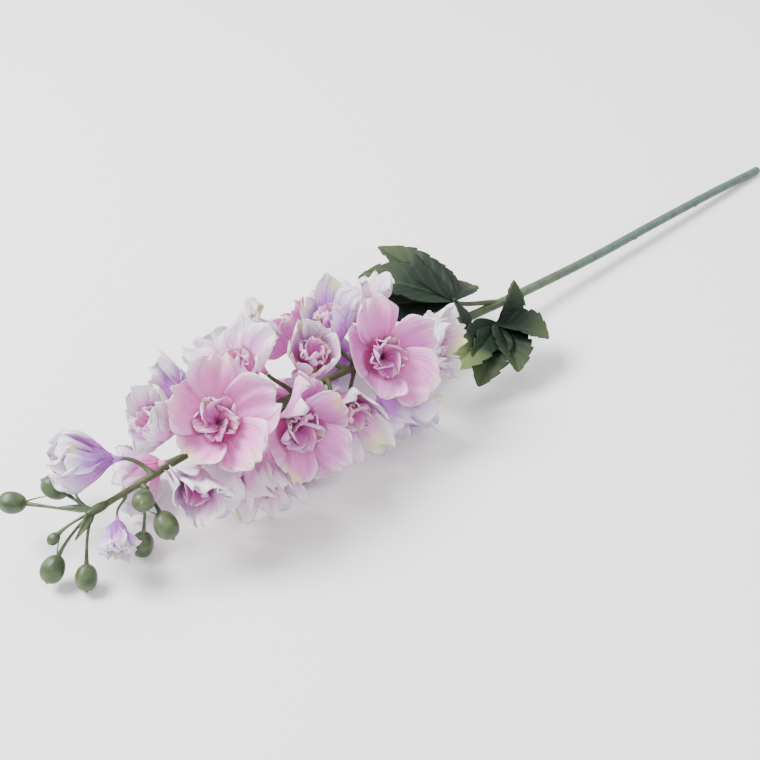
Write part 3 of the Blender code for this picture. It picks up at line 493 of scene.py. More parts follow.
class Skin:
    """Collects the blades of one piece, with their maps and tints, and makes one mesh of them."""

    def __init__(self):
        self.points = []
        self.faces = []
        self.caps = []
        self.maps = []
        self.cloth = []
        self.tints = []
        self.count = 0

    def add_blade(self, middle, thickness, tint, size):
        """Adds a closed blade round a grid of points; tint is one colour, or one for each point."""
        rows, columns, _ = middle.shape
        normals = np.cross(np.gradient(middle, axis=1), np.gradient(middle, axis=0))
        normals /= np.maximum(np.linalg.norm(normals, axis=2, keepdims=True), 1e-9)
        edge = np.ones((rows, columns, 1))
        edge[0], edge[-1], edge[:, 0], edge[:, -1] = 0, 0, 0, 0
        offset = normals * edge * thickness / 2
        top = np.arange(rows * columns).reshape(rows, columns)
        bottom = top + rows * columns
        rim = edge[..., 0] == 0
        bottom = np.where(rim, top, bottom)
        v, u = np.meshgrid(np.linspace(0, 1, rows), np.linspace(0, 1, columns), indexing="ij")
        tint = np.broadcast_to(np.asarray(tint, dtype=float), (rows, columns, 3))
        for sign, index in ((1, top), (-1, bottom)):
            self.points.append((middle + sign * offset).reshape(-1, 3))
            self.maps.append(np.stack((u, v), axis=-1).reshape(-1, 2))
            self.cloth.append(np.stack((u * size[0], v * size[1]), axis=-1).reshape(-1, 2))
            self.tints.append(tint.reshape(-1, 3))
            quads = np.stack((index[:-1, :-1], index[:-1, 1:], index[1:, 1:], index[1:, :-1]), axis=-1)
            quads = quads.reshape(-1, 4) + self.count
            self.faces.append(quads if sign > 0 else quads[:, ::-1])
        self.count += 2 * rows * columns

    def make(self, name, made):
        """One mesh object of all the blades."""
        mesh = bpy.data.meshes.new(name)
        faces = [face for part in self.faces + self.caps for face in part.tolist()]
        mesh.from_pydata(place(np.concatenate(self.points)).tolist(), [], faces)
        corners = np.zeros(len(mesh.loops), dtype=int)
        mesh.loops.foreach_get("vertex_index", corners)
        for label, values in (("petal", self.maps), ("cloth", self.cloth)):
            layer = mesh.uv_layers.new(name=label)
            layer.data.foreach_set("uv", np.concatenate(values)[corners].ravel())
        tints = np.concatenate(self.tints)
        attribute = mesh.color_attributes.new("tint", "FLOAT_COLOR", "POINT")
        attribute.data.foreach_set("color", np.column_stack((tints, np.ones(len(tints)))).ravel())
        mesh.materials.append(made)
        clean_mesh(mesh)
        obj = bpy.data.objects.new(name, mesh)
        bpy.context.scene.collection.objects.link(obj)
        return obj


def clean_mesh(mesh):
    """Drops the points that no face uses and shades the mesh smooth."""
    work = bmesh.new()
    work.from_mesh(mesh)
    loose = [vertex for vertex in work.verts if not vertex.link_faces]
    bmesh.ops.delete(work, geom=loose, context="VERTS")
    work.to_mesh(mesh)
    work.free()
    mesh.shade_smooth()


def dress(piece, nodes):
    """Lets a finished piece stand for its solids."""
    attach(piece, "root")
    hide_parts(*nodes)
    return piece


print("cloth is", CLOTH_THICKNESS, "mm thick")


# %% [markdown]
# ## Stem line
# The stem rises from its cut end into the head and dips again at the tip. Its height and radius are
# given at a few stations, with a smooth curve between them.

# %% Stem line
STEM_HEIGHTS = ((310, 3.24), (240, 7.6), (170, 10.4), (100, 12.4), (27, 17.5),
                (-60, 27.0), (-140, 37.0), (-220, 41.0), (-300, 38.0))
STEM_RADII = ((310, 3.5), (27, 3.5), (-80, 2.9), (-220, 2.3), (-300, 1.9))


def smooth_through(stations, x):
    """A smooth curve through (station, value) pairs that fall along x, read at x."""
    xs = np.array([s[0] for s in stations][::-1], dtype=float)
    values = np.array([s[1] for s in stations][::-1], dtype=float)
    slopes = np.gradient(values, xs)
    x = np.clip(np.asarray(x, dtype=float), xs[0], xs[-1])
    i = np.clip(np.searchsorted(xs, x) - 1, 0, len(xs) - 2)
    span = xs[i + 1] - xs[i]
    t = (x - xs[i]) / span
    start = (1 + 2 * t) * (1 - t) ** 2 * values[i] + t * (1 - t) ** 2 * span * slopes[i]
    end = t ** 2 * (3 - 2 * t) * values[i + 1] + t ** 2 * (t - 1) * span * slopes[i + 1]
    return start + end


def stem_axis(x):
    """The point of the stem's axis at station x."""
    return np.array([x, 0.0, float(smooth_through(STEM_HEIGHTS, x))])


def stem_radius(x):
    """The stem's radius at station x."""
    stations = [s[0] for s in STEM_RADII][::-1]
    radii = [s[1] for s in STEM_RADII][::-1]
    return float(np.interp(x, stations, radii))


def bezier(p0, p1, p2, p3, count):
    """Points along a cubic curve, ends included."""
    t = np.linspace(0.0, 1.0, count)[:, None]
    return (1 - t) ** 3 * p0 + 3 * t * (1 - t) ** 2 * p1 + 3 * t ** 2 * (1 - t) * p2 + t ** 3 * p3


print("the stem rises to", round(float(smooth_through(STEM_HEIGHTS, -220)), 1), "mm")

# %% [markdown]
# ## Where the florets sit
# Each floret has a station, a turn round the stem, a reach, a lean to the tip, a size and an
# openness. Neighbours share the room: between each two lies an invisible wall, tilted so that the
# floret of higher rank overhangs the other, and petals bend back before they reach it.

# %% Floret layout
PETALS = 5
CALYX_LENGTH = 7.0
SITE_HEIGHT = 7.0
CLOSED_SPREAD = 60
OPEN_SPREAD = 80
WALL_REACH = 75.0
OVERHANG = math.radians(26)
FULL_OVERHANG = 36.0
LEAF_WALL = ((-85.0, 0.0, 38.0), (0.89, 0.0, -0.45))
BUD_WALL = ((-276.5, 0.0, 38.0), (-1.0, 0.0, 0.0))
BESIDE_BUDS = 4
GLANCING = 0.25
ROLL_TRIALS = 18
MOST_ROOM = 1.2
LEAST_ROOM = 0.8

Floret = namedtuple("Floret", "station turn reach lean size spread rank colour foot")


def floret_line(station, turn, reach=17, lean=20, size=1.0, spread=84, rank=1, dye="pale",
                foot=False):
    """A floret's line in the layout, with the usual values filled in."""
    return Floret(station, turn, reach, lean, size, spread, rank, dye, foot)


FLORETS = (
    floret_line(-281, -52, reach=16, lean=64, size=1.0, spread=40, rank=6, dye="lilac"),
    floret_line(-299, 122, reach=8, lean=30, size=0.62, spread=34, rank=1, dye="lilac"),
    floret_line(-252, -2, lean=44, size=0.98, spread=66, rank=3),
    floret_line(-233, 32, reach=19, lean=22, size=1.12, spread=88, rank=9, dye="pink"),
    floret_line(-252, 76, reach=15, lean=38, size=1.04, spread=56, rank=5),
    floret_line(-200, -6, lean=30, size=1.08, spread=80, rank=7),
    floret_line(-168, 22, reach=19, lean=12, size=1.02, spread=74, rank=4),
    floret_line(-139, -8, lean=14, size=1.02, spread=78, rank=5, dye="lilac"),
    floret_line(-126, 48, reach=19, lean=18, size=1.12, spread=84, rank=8, dye="pink"),
    floret_line(-194, 70, reach=18, lean=18, size=1.14, spread=80, rank=8, dye="pink"),
    floret_line(-219, 106, lean=18, size=1.0, spread=76, rank=3),
    floret_line(-130, 108, reach=19, lean=4, size=1.02, spread=78, rank=4, dye="lilac"),
    floret_line(-98, 60, reach=15, lean=-22, size=0.9, spread=74, rank=3),
    floret_line(-161, 80, reach=18, lean=12, size=1.04, spread=78, rank=5),
    floret_line(-232, -62, lean=24, size=1.02, spread=78, rank=5, dye="lilac"),
    floret_line(-184, -48, reach=18, lean=16, size=1.06, spread=80, rank=6),
    floret_line(-146, -62, lean=10, size=1.04, spread=80, rank=7, dye="pink"),
    floret_line(-108, -40, reach=16, lean=2, size=0.96, spread=78, rank=4),
    floret_line(-256, -128, reach=15, lean=34, size=0.92, spread=70, rank=2),
    floret_line(-206, -118, reach=16, lean=18, size=1.0, spread=78, rank=3),
    floret_line(-118, -112, reach=15, lean=2, size=1.0, spread=78, rank=2, dye="lilac"),
    floret_line(-168, -136, reach=18, lean=12, size=1.0, spread=82, rank=4, foot=True),
    floret_line(-192, 156, reach=13, lean=6, size=0.94, spread=78, rank=3, dye="pink"),
    floret_line(-140, 152, reach=17, lean=4, size=0.98, spread=82, rank=3, foot=True),
)


class FloretFrame:
    """Where a floret sits: its foot on the pedicel, the way it faces and its neighbours' walls."""

    def __init__(self, floret):
        turn = math.radians(floret.turn)
        lean = math.radians(floret.lean)
        radial = np.array([0.0, -math.sin(turn), math.cos(turn)])
        tipward = np.array([-1.0, 0.0, 0.0])
        self.floret = floret
        self.radial = radial
        self.foot = stem_axis(floret.station) + radial * floret.reach
        self.facing = unit(radial * math.cos(lean) + tipward * math.sin(lean))
        self.first = unit(tipward * math.cos(lean) - radial * math.sin(lean))
        self.second = np.cross(self.facing, self.first)
        self.top = self.foot + self.facing * CALYX_LENGTH * floret.size
        self.site = self.top + self.facing * SITE_HEIGHT * floret.size
        self.walls = []
        self.roll = 0.0
        self.resting_petal = None

    def room(self, turn):
        """How far from the floret's middle its petal can reach before it meets a wall."""
        spoke = math.cos(turn) * self.first + math.sin(turn) * self.second
        return min((point - self.site) @ normal / max(spoke @ normal, GLANCING)
                   for point, normal in self.walls)

    def turn_petals(self, longest):
        """Turns the petals to where there is room, and picks the one that the spray rests on."""
        turns = np.linspace(0, 2 * math.pi / PETALS, ROLL_TRIALS, endpoint=False)
        reaches = [sum(min(self.room(turn + 2 * math.pi * k / PETALS), longest)
                       for k in range(PETALS)) for turn in turns]
        self.roll = float(turns[int(np.argmax(reaches))])
        if self.floret.foot:
            turns = self.roll + 2 * math.pi * np.arange(PETALS) / PETALS
            drops = np.cos(turns) * self.first[2] + np.sin(turns) * self.second[2]
            self.resting_petal = int(np.argmin(drops))


def set_walls(frames):
    """Walls that florets stay behind, between neighbours and before the leaves and side buds."""
    for i, one in enumerate(frames):
        for other in frames[i + 1:]:
            between = other.site - one.site
            distance = np.linalg.norm(between)
            if distance > WALL_REACH:
                continue
            across = between / distance
            share = one.floret.size / (one.floret.size + other.floret.size)
            point = one.site + between * share
            outward = one.facing + other.facing
            outward = outward - across * (outward @ across)
            tilt = OVERHANG * min(1.0, np.linalg.norm(outward)) * min(1.0, distance / FULL_OVERHANG)
            if np.linalg.norm(outward) > 0.05:
                outward = unit(outward)
            if one.floret.rank < other.floret.rank:
                tilt = -tilt
            normal = unit(math.cos(tilt) * across - math.sin(tilt) * outward)
            one.walls.append((point, normal))
            other.walls.append((point, -normal))
    for floret_frame in frames:
        floret_frame.walls.append((np.array(LEAF_WALL[0]), unit(LEAF_WALL[1])))
    frames[BESIDE_BUDS].walls.append((np.array(BUD_WALL[0]), unit(BUD_WALL[1])))


# How each ring of petals is shaped: length, half-width, the radius and height of its root over the
# calyx, the slopes of root and tip as parts of the floret's spread, and the ranges of cupping, of
# twist and of the wave in the tip; then how deep its rim is ruffled, its creases are pressed and
# its tip curls, and the grid it is drawn on.
Ring = namedtuple("Ring", "length half_width root slopes cup twist wave ruffle crease curl grid")
OUTER = Ring(28.5, 14.2, (1.9, -2.0), (0.42, 1.06), (0.5, 0.85), (0.32, 0.42), (0.78, 1.3),
             3.4, 1.2, 6.5, (29, 25))
INNER = Ring(19.0, 6.0, (1.2, 0.9), (0.08, 0.7), (1.2, 1.6), (0.42, 0.55), (0.6, 1.0),
             2.6, 0.8, 3.0, (23, 17))

FLORET_FRAMES = [FloretFrame(floret) for floret in FLORETS]
set_walls(FLORET_FRAMES)
for floret_frame in FLORET_FRAMES:
    floret_frame.turn_petals(OUTER.length * MOST_ROOM)
print(len(FLORETS), "florets,", sum(len(f.walls) for f in FLORET_FRAMES), "walls")

# %% [markdown]
# ## Petals
# A petal starts as a curved profile from the calyx outwards. Across it the blade is cupped, twisted
# a little so that one side slips under its neighbour, and waved at the tip. The solid has only these
# long curves. Here the rim also gets the fine ruffles that a heated stamp leaves, and creases run
# from the root outwards. Then each point that would pass a wall or the table is bent clear of it.

# %% Petal shape
PETAL_ROOT_WIDTH = 0.12
PETAL_WIDEST = (0.815, 1.37)
PETAL_TIP_DROP = 0.17
PETAL_NOTCH = 0.09
PETAL_WAVES = 1.5
# The cloth is drawn this much wider than the stiff solid petals, since its rims are soft
OUTER_FULLNESS = 1.14
INNER_FULLNESS = 1.4
PROFILE_STEPS = 49
WALL_MARGIN = 0.75
WALL_SOFTNESS = 3.0
INNER_MARGIN = 1.6
TABLE_MARGIN = 1.3
FOOT_MARGIN = 0.5
LIFT = 0.8
PROJECTIONS = 6
LAYER = 0.5
ENVELOPE_FOOT = 2.5
ENVELOPE_TOP = 12.5
ENVELOPE_RISE = 7.0
ENVELOPE_GAP = 1.0


def bend_clear(points, frame, margin, table, softness):
    """Bends petal points back and up where they would cross a neighbour or the table."""
    shape = points.shape
    p = points.reshape(-1, 3).copy()
    for _ in range(2):
        for point, normal in frame.walls:
            excess = (p - point) @ normal + margin
            push = 0.5 * (excess + np.sqrt(excess ** 2 + WALL_SOFTNESS ** 2))
            along = frame.facing - normal * (frame.facing @ normal)
            p = p - push[:, None] * normal + LIFT * push[:, None] * along
        sunk = table - p[:, 2]
        push = 0.5 * (sunk + np.sqrt(sunk ** 2 + softness ** 2))
        spoke = p - frame.foot
        spoke[:, 2] = 0.0
        spoke /= np.maximum(np.linalg.norm(spoke, axis=1, keepdims=True), 1.0)
        p = p + push[:, None] * spoke * LIFT
        p[:, 2] += push
    for _ in range(PROJECTIONS):
        for point, normal in frame.walls:
            excess = np.maximum((p - point) @ normal + margin, 0.0)
            p = p - excess[:, None] * normal
        p[:, 2] = np.maximum(p[:, 2], table)
    return p.reshape(shape)


def keep_side(points, frame, outside):
    """Keeps outer petals outside a floret's envelope and inner petals inside it."""
    openness = min(1.0, frame.floret.spread / OPEN_SPREAD)
    top = ENVELOPE_FOOT + (ENVELOPE_TOP - ENVELOPE_FOOT) * openness * frame.floret.size
    from_top = points - frame.top
    height = from_top @ frame.facing
    spoke = from_top - height[..., None] * frame.facing
    radius = np.maximum(np.linalg.norm(spoke, axis=-1), 0.01)
    limit = top - (top - ENVELOPE_FOOT) * np.exp(-np.maximum(height, 0) / ENVELOPE_RISE)
    if outside:
        wanted = np.where(height > 0.5, np.maximum(radius, limit + ENVELOPE_GAP), radius)
    else:
        wanted = np.minimum(radius, limit - ENVELOPE_GAP)
    return points + spoke * (wanted / radius - 1)[..., None]


def petal_points(frame, index, inner, count):
    """The middle surface of one petal, with its ruffles and creases."""
    floret = frame.floret
    ring = INNER if inner else OUTER
    draw = random.Random(f"{floret.station} {index} {inner}")
    length = ring.length * floret.size * draw.uniform(0.94, 1.06)
    half_width = ring.half_width * floret.size * draw.uniform(0.94, 1.05)
    spread = math.radians(floret.spread + draw.uniform(-9, 9))
    cup = draw.uniform(*ring.cup)
    twist = draw.uniform(*ring.twist)
    wave = draw.uniform(*ring.wave)
    phase = draw.uniform(0, 2 * math.pi)
    notch = draw.uniform(0.0, PETAL_NOTCH)
    turn = frame.roll + 2 * math.pi * index / count + draw.uniform(-0.1, 0.1)
    if inner:
        turn += math.pi / PETALS
    elif floret.spread > CLOSED_SPREAD:
        length *= min(max(frame.room(turn) / (LEAST_ROOM * length), 1.0), MOST_ROOM)

    half_width *= INNER_FULLNESS if inner else OUTER_FULLNESS

    # Outline: a narrow root, widest past the middle, with a soft notch and a slightly ragged rim
    rows, columns = ring.grid
    u = np.linspace(-1, 1, columns)[None, :]
    v = np.linspace(0, 1, rows)[:, None]
    peak, power = PETAL_WIDEST
    width = PETAL_ROOT_WIDTH + (1 - PETAL_ROOT_WIDTH) * np.sin(math.pi * peak * v ** power)
    ragged = 1 + 0.022 * np.sin(9 * v + phase) + 0.012 * np.sin(23 * v + 2 * phase)
    scallop = 0.018 * np.sin(5.5 * u + phase) + 0.010 * np.sin(13 * u - phase)
    reach = v * (1 - PETAL_TIP_DROP * v ** 3 * u ** 2) - notch * v ** 6 * np.exp(-(u / 0.3) ** 2)
    reach = reach + scallop * v ** 5

    steps = np.linspace(0, 1, PROFILE_STEPS)
    root_slope, tip_slope = (spread * part for part in ring.slopes)
    slopes = root_slope + (tip_slope - root_slope) * steps ** 0.8
    middles = (slopes[1:] + slopes[:-1]) / 2
    root_radius, root_height = (floret.size * part for part in ring.root)
    run = length / (PROFILE_STEPS - 1)
    radii = root_radius + run * np.concatenate(([0], np.cumsum(np.sin(middles))))
    heights = root_height + run * np.concatenate(([0], np.cumsum(np.cos(middles))))
    radius = np.interp(reach, steps, radii)
    height = np.interp(reach, steps, heights)
    slope = np.interp(reach, steps, slopes)

    # Relief: the solid's cup, twist and wave, then ruffles at the rim and creases from the root
    side = half_width * width * ragged * np.sin(cup * u) / cup
    rise = half_width * width * (1 - np.cos(cup * u)) / cup
    rise = rise + twist * side + wave * v ** 2 * np.sin(PETAL_WAVES * math.pi * u + phase)
    detail = random.Random(f"ruffle {floret.station} {index} {inner}")
    waves = detail.uniform(2.2, 3.4)
    shift = detail.uniform(0, 2 * math.pi)
    to_rim = np.maximum(v ** 3, np.abs(u) ** 3 * np.sin(math.pi * v) ** 0.5)
    ruffle = ring.ruffle * detail.uniform(0.7, 1.1) * to_rim
    rise = rise + ruffle * np.sin(waves * math.pi * u + 4.2 * v + shift)
    rise = rise + 0.4 * ruffle * np.sin(2.3 * waves * math.pi * u - 7 * v + 2 * shift)
    curl = ring.curl * detail.uniform(-0.35, 1.0)
    fold_at = detail.uniform(-0.5, 0.5)
    fold = ring.curl * detail.uniform(-0.9, 0.9)
    rise = rise + curl * v ** 3 + fold * v ** 1.5 * np.exp(-np.abs(u - fold_at) / 0.3)
    folds = detail.choice((4.0, 5.0, 6.0))
    rise = rise + ring.crease * v * (1 - v ** 4) * np.cos(folds * math.pi * u + shift)
    spoke = math.cos(turn) * frame.first + math.sin(turn) * frame.second
    tangent = -math.sin(turn) * frame.first + math.cos(turn) * frame.second
    inward = -np.cos(slope)[..., None] * spoke + np.sin(slope)[..., None] * frame.facing
    points = (frame.top + radius[..., None] * spoke + height[..., None] * frame.facing
              + side[..., None] * tangent + rise[..., None] * inward)

    layer = LAYER * (index % 2)
    margin = WALL_MARGIN + layer + (INNER_MARGIN if inner else 0.0)
    resting = not inner and index == frame.resting_petal
    table = FOOT_MARGIN if resting else TABLE_MARGIN + layer
    root = points[0].copy()
    points = bend_clear(points, frame, margin, table, 0.0 if resting else WALL_SOFTNESS)
    points = keep_side(points, frame, outside=not inner)
    points[..., 2] = np.maximum(points[..., 2], CLOTH_THICKNESS)
    blend = np.minimum(v / 0.12, 1.0)[..., None]
    return root * (1 - blend) + points * blend, (2 * half_width, length)


# %% [markdown]
# ## Florets
# The outer ring and the inner ring are two pieces, because their cloths are dyed apart. Each petal
# gets its own tint: how yellow its tip is and how much of the second dye it took.

# %% Florets
CALYX_RADII = (1.2, 3.0)
CORE_RADII = (1.5, 2.0)
CORE_HEIGHT = 1.8
TOUCH_GAP = 0.3
CLOSED_INNER_PETALS = 3
HIDDEN_INNER_PETALS = 3
SEEN_TURN = 42
SEEN_ARC = 63


def inner_count(floret):
    """How many inner petals a floret has: fewer in one that is still closed or lies underneath."""
    if floret.spread < CLOSED_SPREAD:
        return CLOSED_INNER_PETALS
    return PETALS if abs(floret.turn - SEEN_TURN) < SEEN_ARC else HIDDEN_INNER_PETALS


def turned_points(foot, direction, profile, sides):
    """Rings of points of a turned form: profile is (height, radius) pairs up from the foot."""
    direction = unit(direction)
    side = unit(np.cross(direction, (0.31, 0.87, 0.38)))
    up = np.cross(direction, side)
    angles = np.linspace(0, 2 * math.pi, sides, endpoint=False)
    heights = np.array([p[0] for p in profile])[:, None, None]
    radii = np.array([p[1] for p in profile])[:, None, None]
    around = np.cos(angles)[:, None] * side + np.sin(angles)[:, None] * up
    return np.asarray(foot) + heights * direction + radii * around


def add_turned(skin, foot, direction, profile, sides, tint, swell=None):
    """Adds a closed turned form to a skin; swell scales each ring's points round their middle."""
    rings = turned_points(foot, direction, profile, sides)
    if swell is not None:
        middles = rings.mean(axis=1, keepdims=True)
        rings = middles + (rings - middles) * swell[..., None]
    count = len(profile)
    index = np.arange(count * sides).reshape(count, sides)
    following = np.roll(index, -1, axis=1)
    quads = np.stack((index[:-1], following[:-1], following[1:], index[1:]), axis=-1).reshape(-1, 4)
    skin.points.append(rings.reshape(-1, 3))
    v, u = np.meshgrid(np.linspace(0, 1, count), np.linspace(0, 1, sides), indexing="ij")
    skin.maps.append(np.stack((u, v), axis=-1).reshape(-1, 2))
    skin.cloth.append(np.stack((u * 10, v * 10), axis=-1).reshape(-1, 2))
    skin.tints.append(np.broadcast_to(np.asarray(tint, dtype=float), (count * sides, 3)))
    skin.faces.append(quads + skin.count)
    for ring, turn_over in ((index[0], True), (index[-1], False)):
        middle = skin.count + count * sides + (0 if turn_over else 1)
        start, end = (following, index) if turn_over else (index, following)
        row = 0 if turn_over else -1
        skin.caps.append(np.stack((start[row] + skin.count, end[row] + skin.count,
                                   np.full(sides, middle)), axis=-1))
    ends = np.stack((rings[0].mean(axis=0), rings[-1].mean(axis=0)))
    skin.points.append(ends)
    skin.maps.append(np.array([[0.5, 0.0], [0.5, 1.0]]))
    skin.cloth.append(np.array([[0.0, 0.0], [0.0, 10.0]]))
    skin.tints.append(np.broadcast_to(np.asarray(tint, dtype=float), (2, 3)))
    skin.count += count * sides + 2


def build_floret(number, frame):
    """Both rings of one floret."""
    floret = frame.floret
    size = floret.size
    draw = random.Random(f"tints {floret.station}")
    outer = Skin()
    calyx = [(CALYX_LENGTH * size * t, size * (CALYX_RADII[0] + (CALYX_RADII[1] - CALYX_RADII[0])
                                               * t ** 1.3)) for t in np.linspace(0, 1, 8)]
    add_turned(outer, frame.foot, frame.facing, calyx, 20, (0.2, 1.0, 0.0))
    for index in range(PETALS):
        points, extent = petal_points(frame, index, False, PETALS)
        yellow = draw.choice((0.0, 0.0, 0.25, 0.9))
        outer.add_blade(points, CLOTH_THICKNESS, (draw.random(), yellow, draw.uniform(0, 1)), extent)
    inner = Skin()
    core = [(TOUCH_GAP + (CORE_HEIGHT - TOUCH_GAP) * t, size * CORE_RADII[1] * (0.75 + 0.25 * t))
            for t in np.linspace(0, 1, 4)]
    add_turned(inner, frame.top, frame.facing, core, 20, (0.2, 0.0, 0.0))
    count = inner_count(floret)
    for index in range(count):
        points, extent = petal_points(frame, index, True, count)
        inner.add_blade(points, CLOTH_THICKNESS, (draw.random(), draw.choice((0.0, 0.0, 0.6)),
                                                  draw.uniform(0, 1)), extent)
    label = f"floret_{number:02d}"
    outer_piece = outer.make(f"{label}_outer_petals", PETAL_CLOTH[floret.colour])
    dress(outer_piece, [f"{label}_outer"])
    inner_piece = inner.make(f"{label}_inner_petals", PETAL_CLOTH["throat"])
    dress(inner_piece, [f"{label}_inner"])
    return len(outer_piece.data.polygons) + len(inner_piece.data.polygons)


faces = sum(build_floret(number, floret_frame)
            for number, floret_frame in enumerate(FLORET_FRAMES, start=1))
print("florets:", len(FLORET_FRAMES), "with", faces, "faces")

# %% [markdown]
# ## Tubes along a path
# The stem, pedicels, petioles and stalks are all rods that follow a path and taper. Geometry Nodes
# do this well: the path is a chain of edges with a radius at each point, and one tree turns it into
# a curve and sweeps a circle along it.

# %% Tube tree


def new_tree(name, inputs):
    """A Geometry Nodes tree with named inputs; returns it with its input and output nodes."""
    tree = bpy.data.node_groups.new(name, "GeometryNodeTree")
    tree.interface.new_socket("Geometry", in_out="INPUT", socket_type="NodeSocketGeometry")
    for label, kind in inputs:
        tree.interface.new_socket(label, in_out="INPUT", socket_type=kind)
    tree.interface.new_socket("Geometry", in_out="OUTPUT", socket_type="NodeSocketGeometry")
    return tree, add_node(tree, "NodeGroupInput")


def grow(obj, tree, values):
    """Runs a tree on an object, with its inputs set by identifier, and keeps the plain result."""
    modifier = obj.modifiers.new(tree.name, "NODES")
    modifier.node_group = tree
    for item in tree.interface.items_tree:
        if item.in_out == "INPUT" and item.name in values:
            modifier[item.identifier] = values[item.name]
    depsgraph = bpy.context.evaluated_depsgraph_get()
    made = bpy.data.meshes.new_from_object(obj.evaluated_get(depsgraph))
    obj.modifiers.clear()
    obj.data = made
    return obj


tube_tree, tube_in = new_tree("tube_along_path", (("Sides", "NodeSocketInt"),
                                                  ("Material", "NodeSocketMaterial")))
radius_at = add_node(tube_tree, "GeometryNodeInputNamedAttribute", {"Name": "radius"},
                     data_type="FLOAT")
path_curve = add_node(tube_tree, "GeometryNodeMeshToCurve", {"Mesh": tube_in.outputs["Geometry"]})
with_radius = add_node(tube_tree, "GeometryNodeSetCurveRadius",
                       {"Curve": path_curve.outputs[0], "Radius": radius_at.outputs["Attribute"]})
circle = add_node(tube_tree, "GeometryNodeCurvePrimitiveCircle",
                  {"Resolution": tube_in.outputs["Sides"], "Radius": 1.0})
swept = add_node(tube_tree, "GeometryNodeCurveToMesh",
                 {"Curve": with_radius.outputs[0], "Profile Curve": circle.outputs["Curve"],
                  "Fill Caps": True})
# Newer versions of Curve to Mesh take the taper from a Scale input instead of the curve's radius
if "Scale" in swept.inputs:
    tube_tree.links.new(radius_at.outputs["Attribute"], swept.inputs["Scale"])
tube_smooth = add_node(tube_tree, "GeometryNodeSetShadeSmooth", {"Geometry": swept.outputs[0]})
tube_real = add_node(tube_tree, "GeometryNodeRealizeInstances",
                     {"Geometry": tube_smooth.outputs[0]})
tube_paint = add_node(tube_tree, "GeometryNodeSetMaterial",
                      {"Geometry": tube_real.outputs[0], "Material": tube_in.outputs["Material"]})
add_node(tube_tree, "NodeGroupOutput", {"Geometry": tube_paint.outputs[0]})


def tubes(name, paths, sides, made):
    """One mesh of tubes; paths are (points in millimetres, radii in millimetres) pairs."""
    points = []
    edges = []
    radii = []
    for path, widths in paths:
        start = len(points)
        points.extend(place(path).tolist())
        radii.extend(np.asarray(widths, dtype=float) * METRES)
        edges.extend((start + k, start + k + 1) for k in range(len(path) - 1))
    mesh = bpy.data.meshes.new(name)
    mesh.from_pydata(points, edges, [])
    attribute = mesh.attributes.new("radius", "FLOAT", "POINT")
    attribute.data.foreach_set("value", np.array(radii, dtype=np.float32))
    obj = bpy.data.objects.new(name, mesh)
    bpy.context.scene.collection.objects.link(obj)
    return grow(obj, tube_tree, {"Sides": sides, "Material": made})


def outward(obj):
    """Merges doubled points of a closed mesh and turns its faces outwards."""
    work = bmesh.new()
    work.from_mesh(obj.data)
    bmesh.ops.remove_doubles(work, verts=work.verts, dist=1e-6)
    bmesh.ops.recalc_face_normals(work, faces=work.faces)
    work.to_mesh(obj.data)
    work.free()
    return obj


# %% [markdown]
# ## Stem
# The stem is one moulding over a wire. Its skin is a little lumpy, leaf scars stand on it and, at
# the cut, the wire shows in its bore. Pedicels and petioles are part of the same moulding.

# %% Stem paths
SCAR_STATIONS = (287, 252, 219, 182, 161, 143, 119, 93)
SCAR_TURNS = (20, 55, 90)
WIRE_RADIUS = 1.0
WIRE_INNER_END = -50.0
PEDICEL_RADIUS = 1.1
PEDICEL_START = 9.0
PEDICEL_BEND = (5.0, 6.0)
PETIOLE_RADIUS = 1.4
PETIOLE_BEND = (0.4, 9.0)
LEAF_BOSS_HEIGHT = 2.6
CUT_BEVEL = 0.8
STEM_RINGS = 260
# The solid has eight flats; a round stem this much thinner fits inside them and lies on the table
STEM_FIT = 0.93

Lobe = namedtuple("Lobe", "tip half_width arch face")
Leaf = namedtuple("Leaf", "root palm facing lobes")

LEAVES = (
    Leaf(root=2.0, palm=(-42, 4, 40), facing=(-0.7, 0.1, 0.7), lobes=(
        Lobe((-43, 75, 47), 14.0, 5.0, (0.1, -0.2, 1.0)),
        Lobe((-26, 58, 44), 11.5, 4.0, (0.5, -0.1, 1.0)),
        Lobe((-76, 58, 46), 14.0, 8.0, (-0.2, -0.4, 1.0)),
        Lobe((-86, 55, 27), 14.5, 6.0, (-0.5, -0.5, 1.0)),
        Lobe((-13, 15, 33), 9.0, 3.0, (0.3, 0.0, 1.0)),
        Lobe((-60, -20, 22), 8.5, 6.0, (0.2, -1.0, 0.3)))),
    Leaf(root=22.0, palm=(-26, -21, 27), facing=(-0.6, -0.5, 0.6), lobes=(
        Lobe((-3, -12, 46), 13.5, 4.0, (0.2, -1.0, 0.2)),
        Lobe((-9, -50, 23), 15.5, 5.0, (0.3, -0.3, 1.0)),
        Lobe((-43, -55, 17), 13.0, 6.0, (0.0, -0.6, 1.0)),
        Lobe((-68, -45, 13), 13.0, 7.0, (-0.2, -0.5, 1.0)),
        Lobe((-80, -31, 24), 12.5, 6.0, (-0.1, -0.6, 1.0)))),
)


def stem_paths():
    """The stem's own path with its lumpy radius."""
    stations = np.concatenate(([STEM_CUT, STEM_CUT - 0.25 * CUT_BEVEL],
                               np.linspace(STEM_CUT - CUT_BEVEL, STEM_TIP, STEM_RINGS)))
    path = np.array([stem_axis(x) for x in stations])
    radii = STEM_FIT * np.array([stem_radius(x) for x in stations])
    lumps = 0.10 * np.sin(stations * 0.9) * np.sin(stations * 0.23 + 1) - 0.10
    radii[2:] += lumps[2:] * np.clip((STEM_CUT - stations[2:]) / 10, 0, 1)
    radii[0] -= CUT_BEVEL
    radii[1] -= 0.3 * CUT_BEVEL
    return path, radii


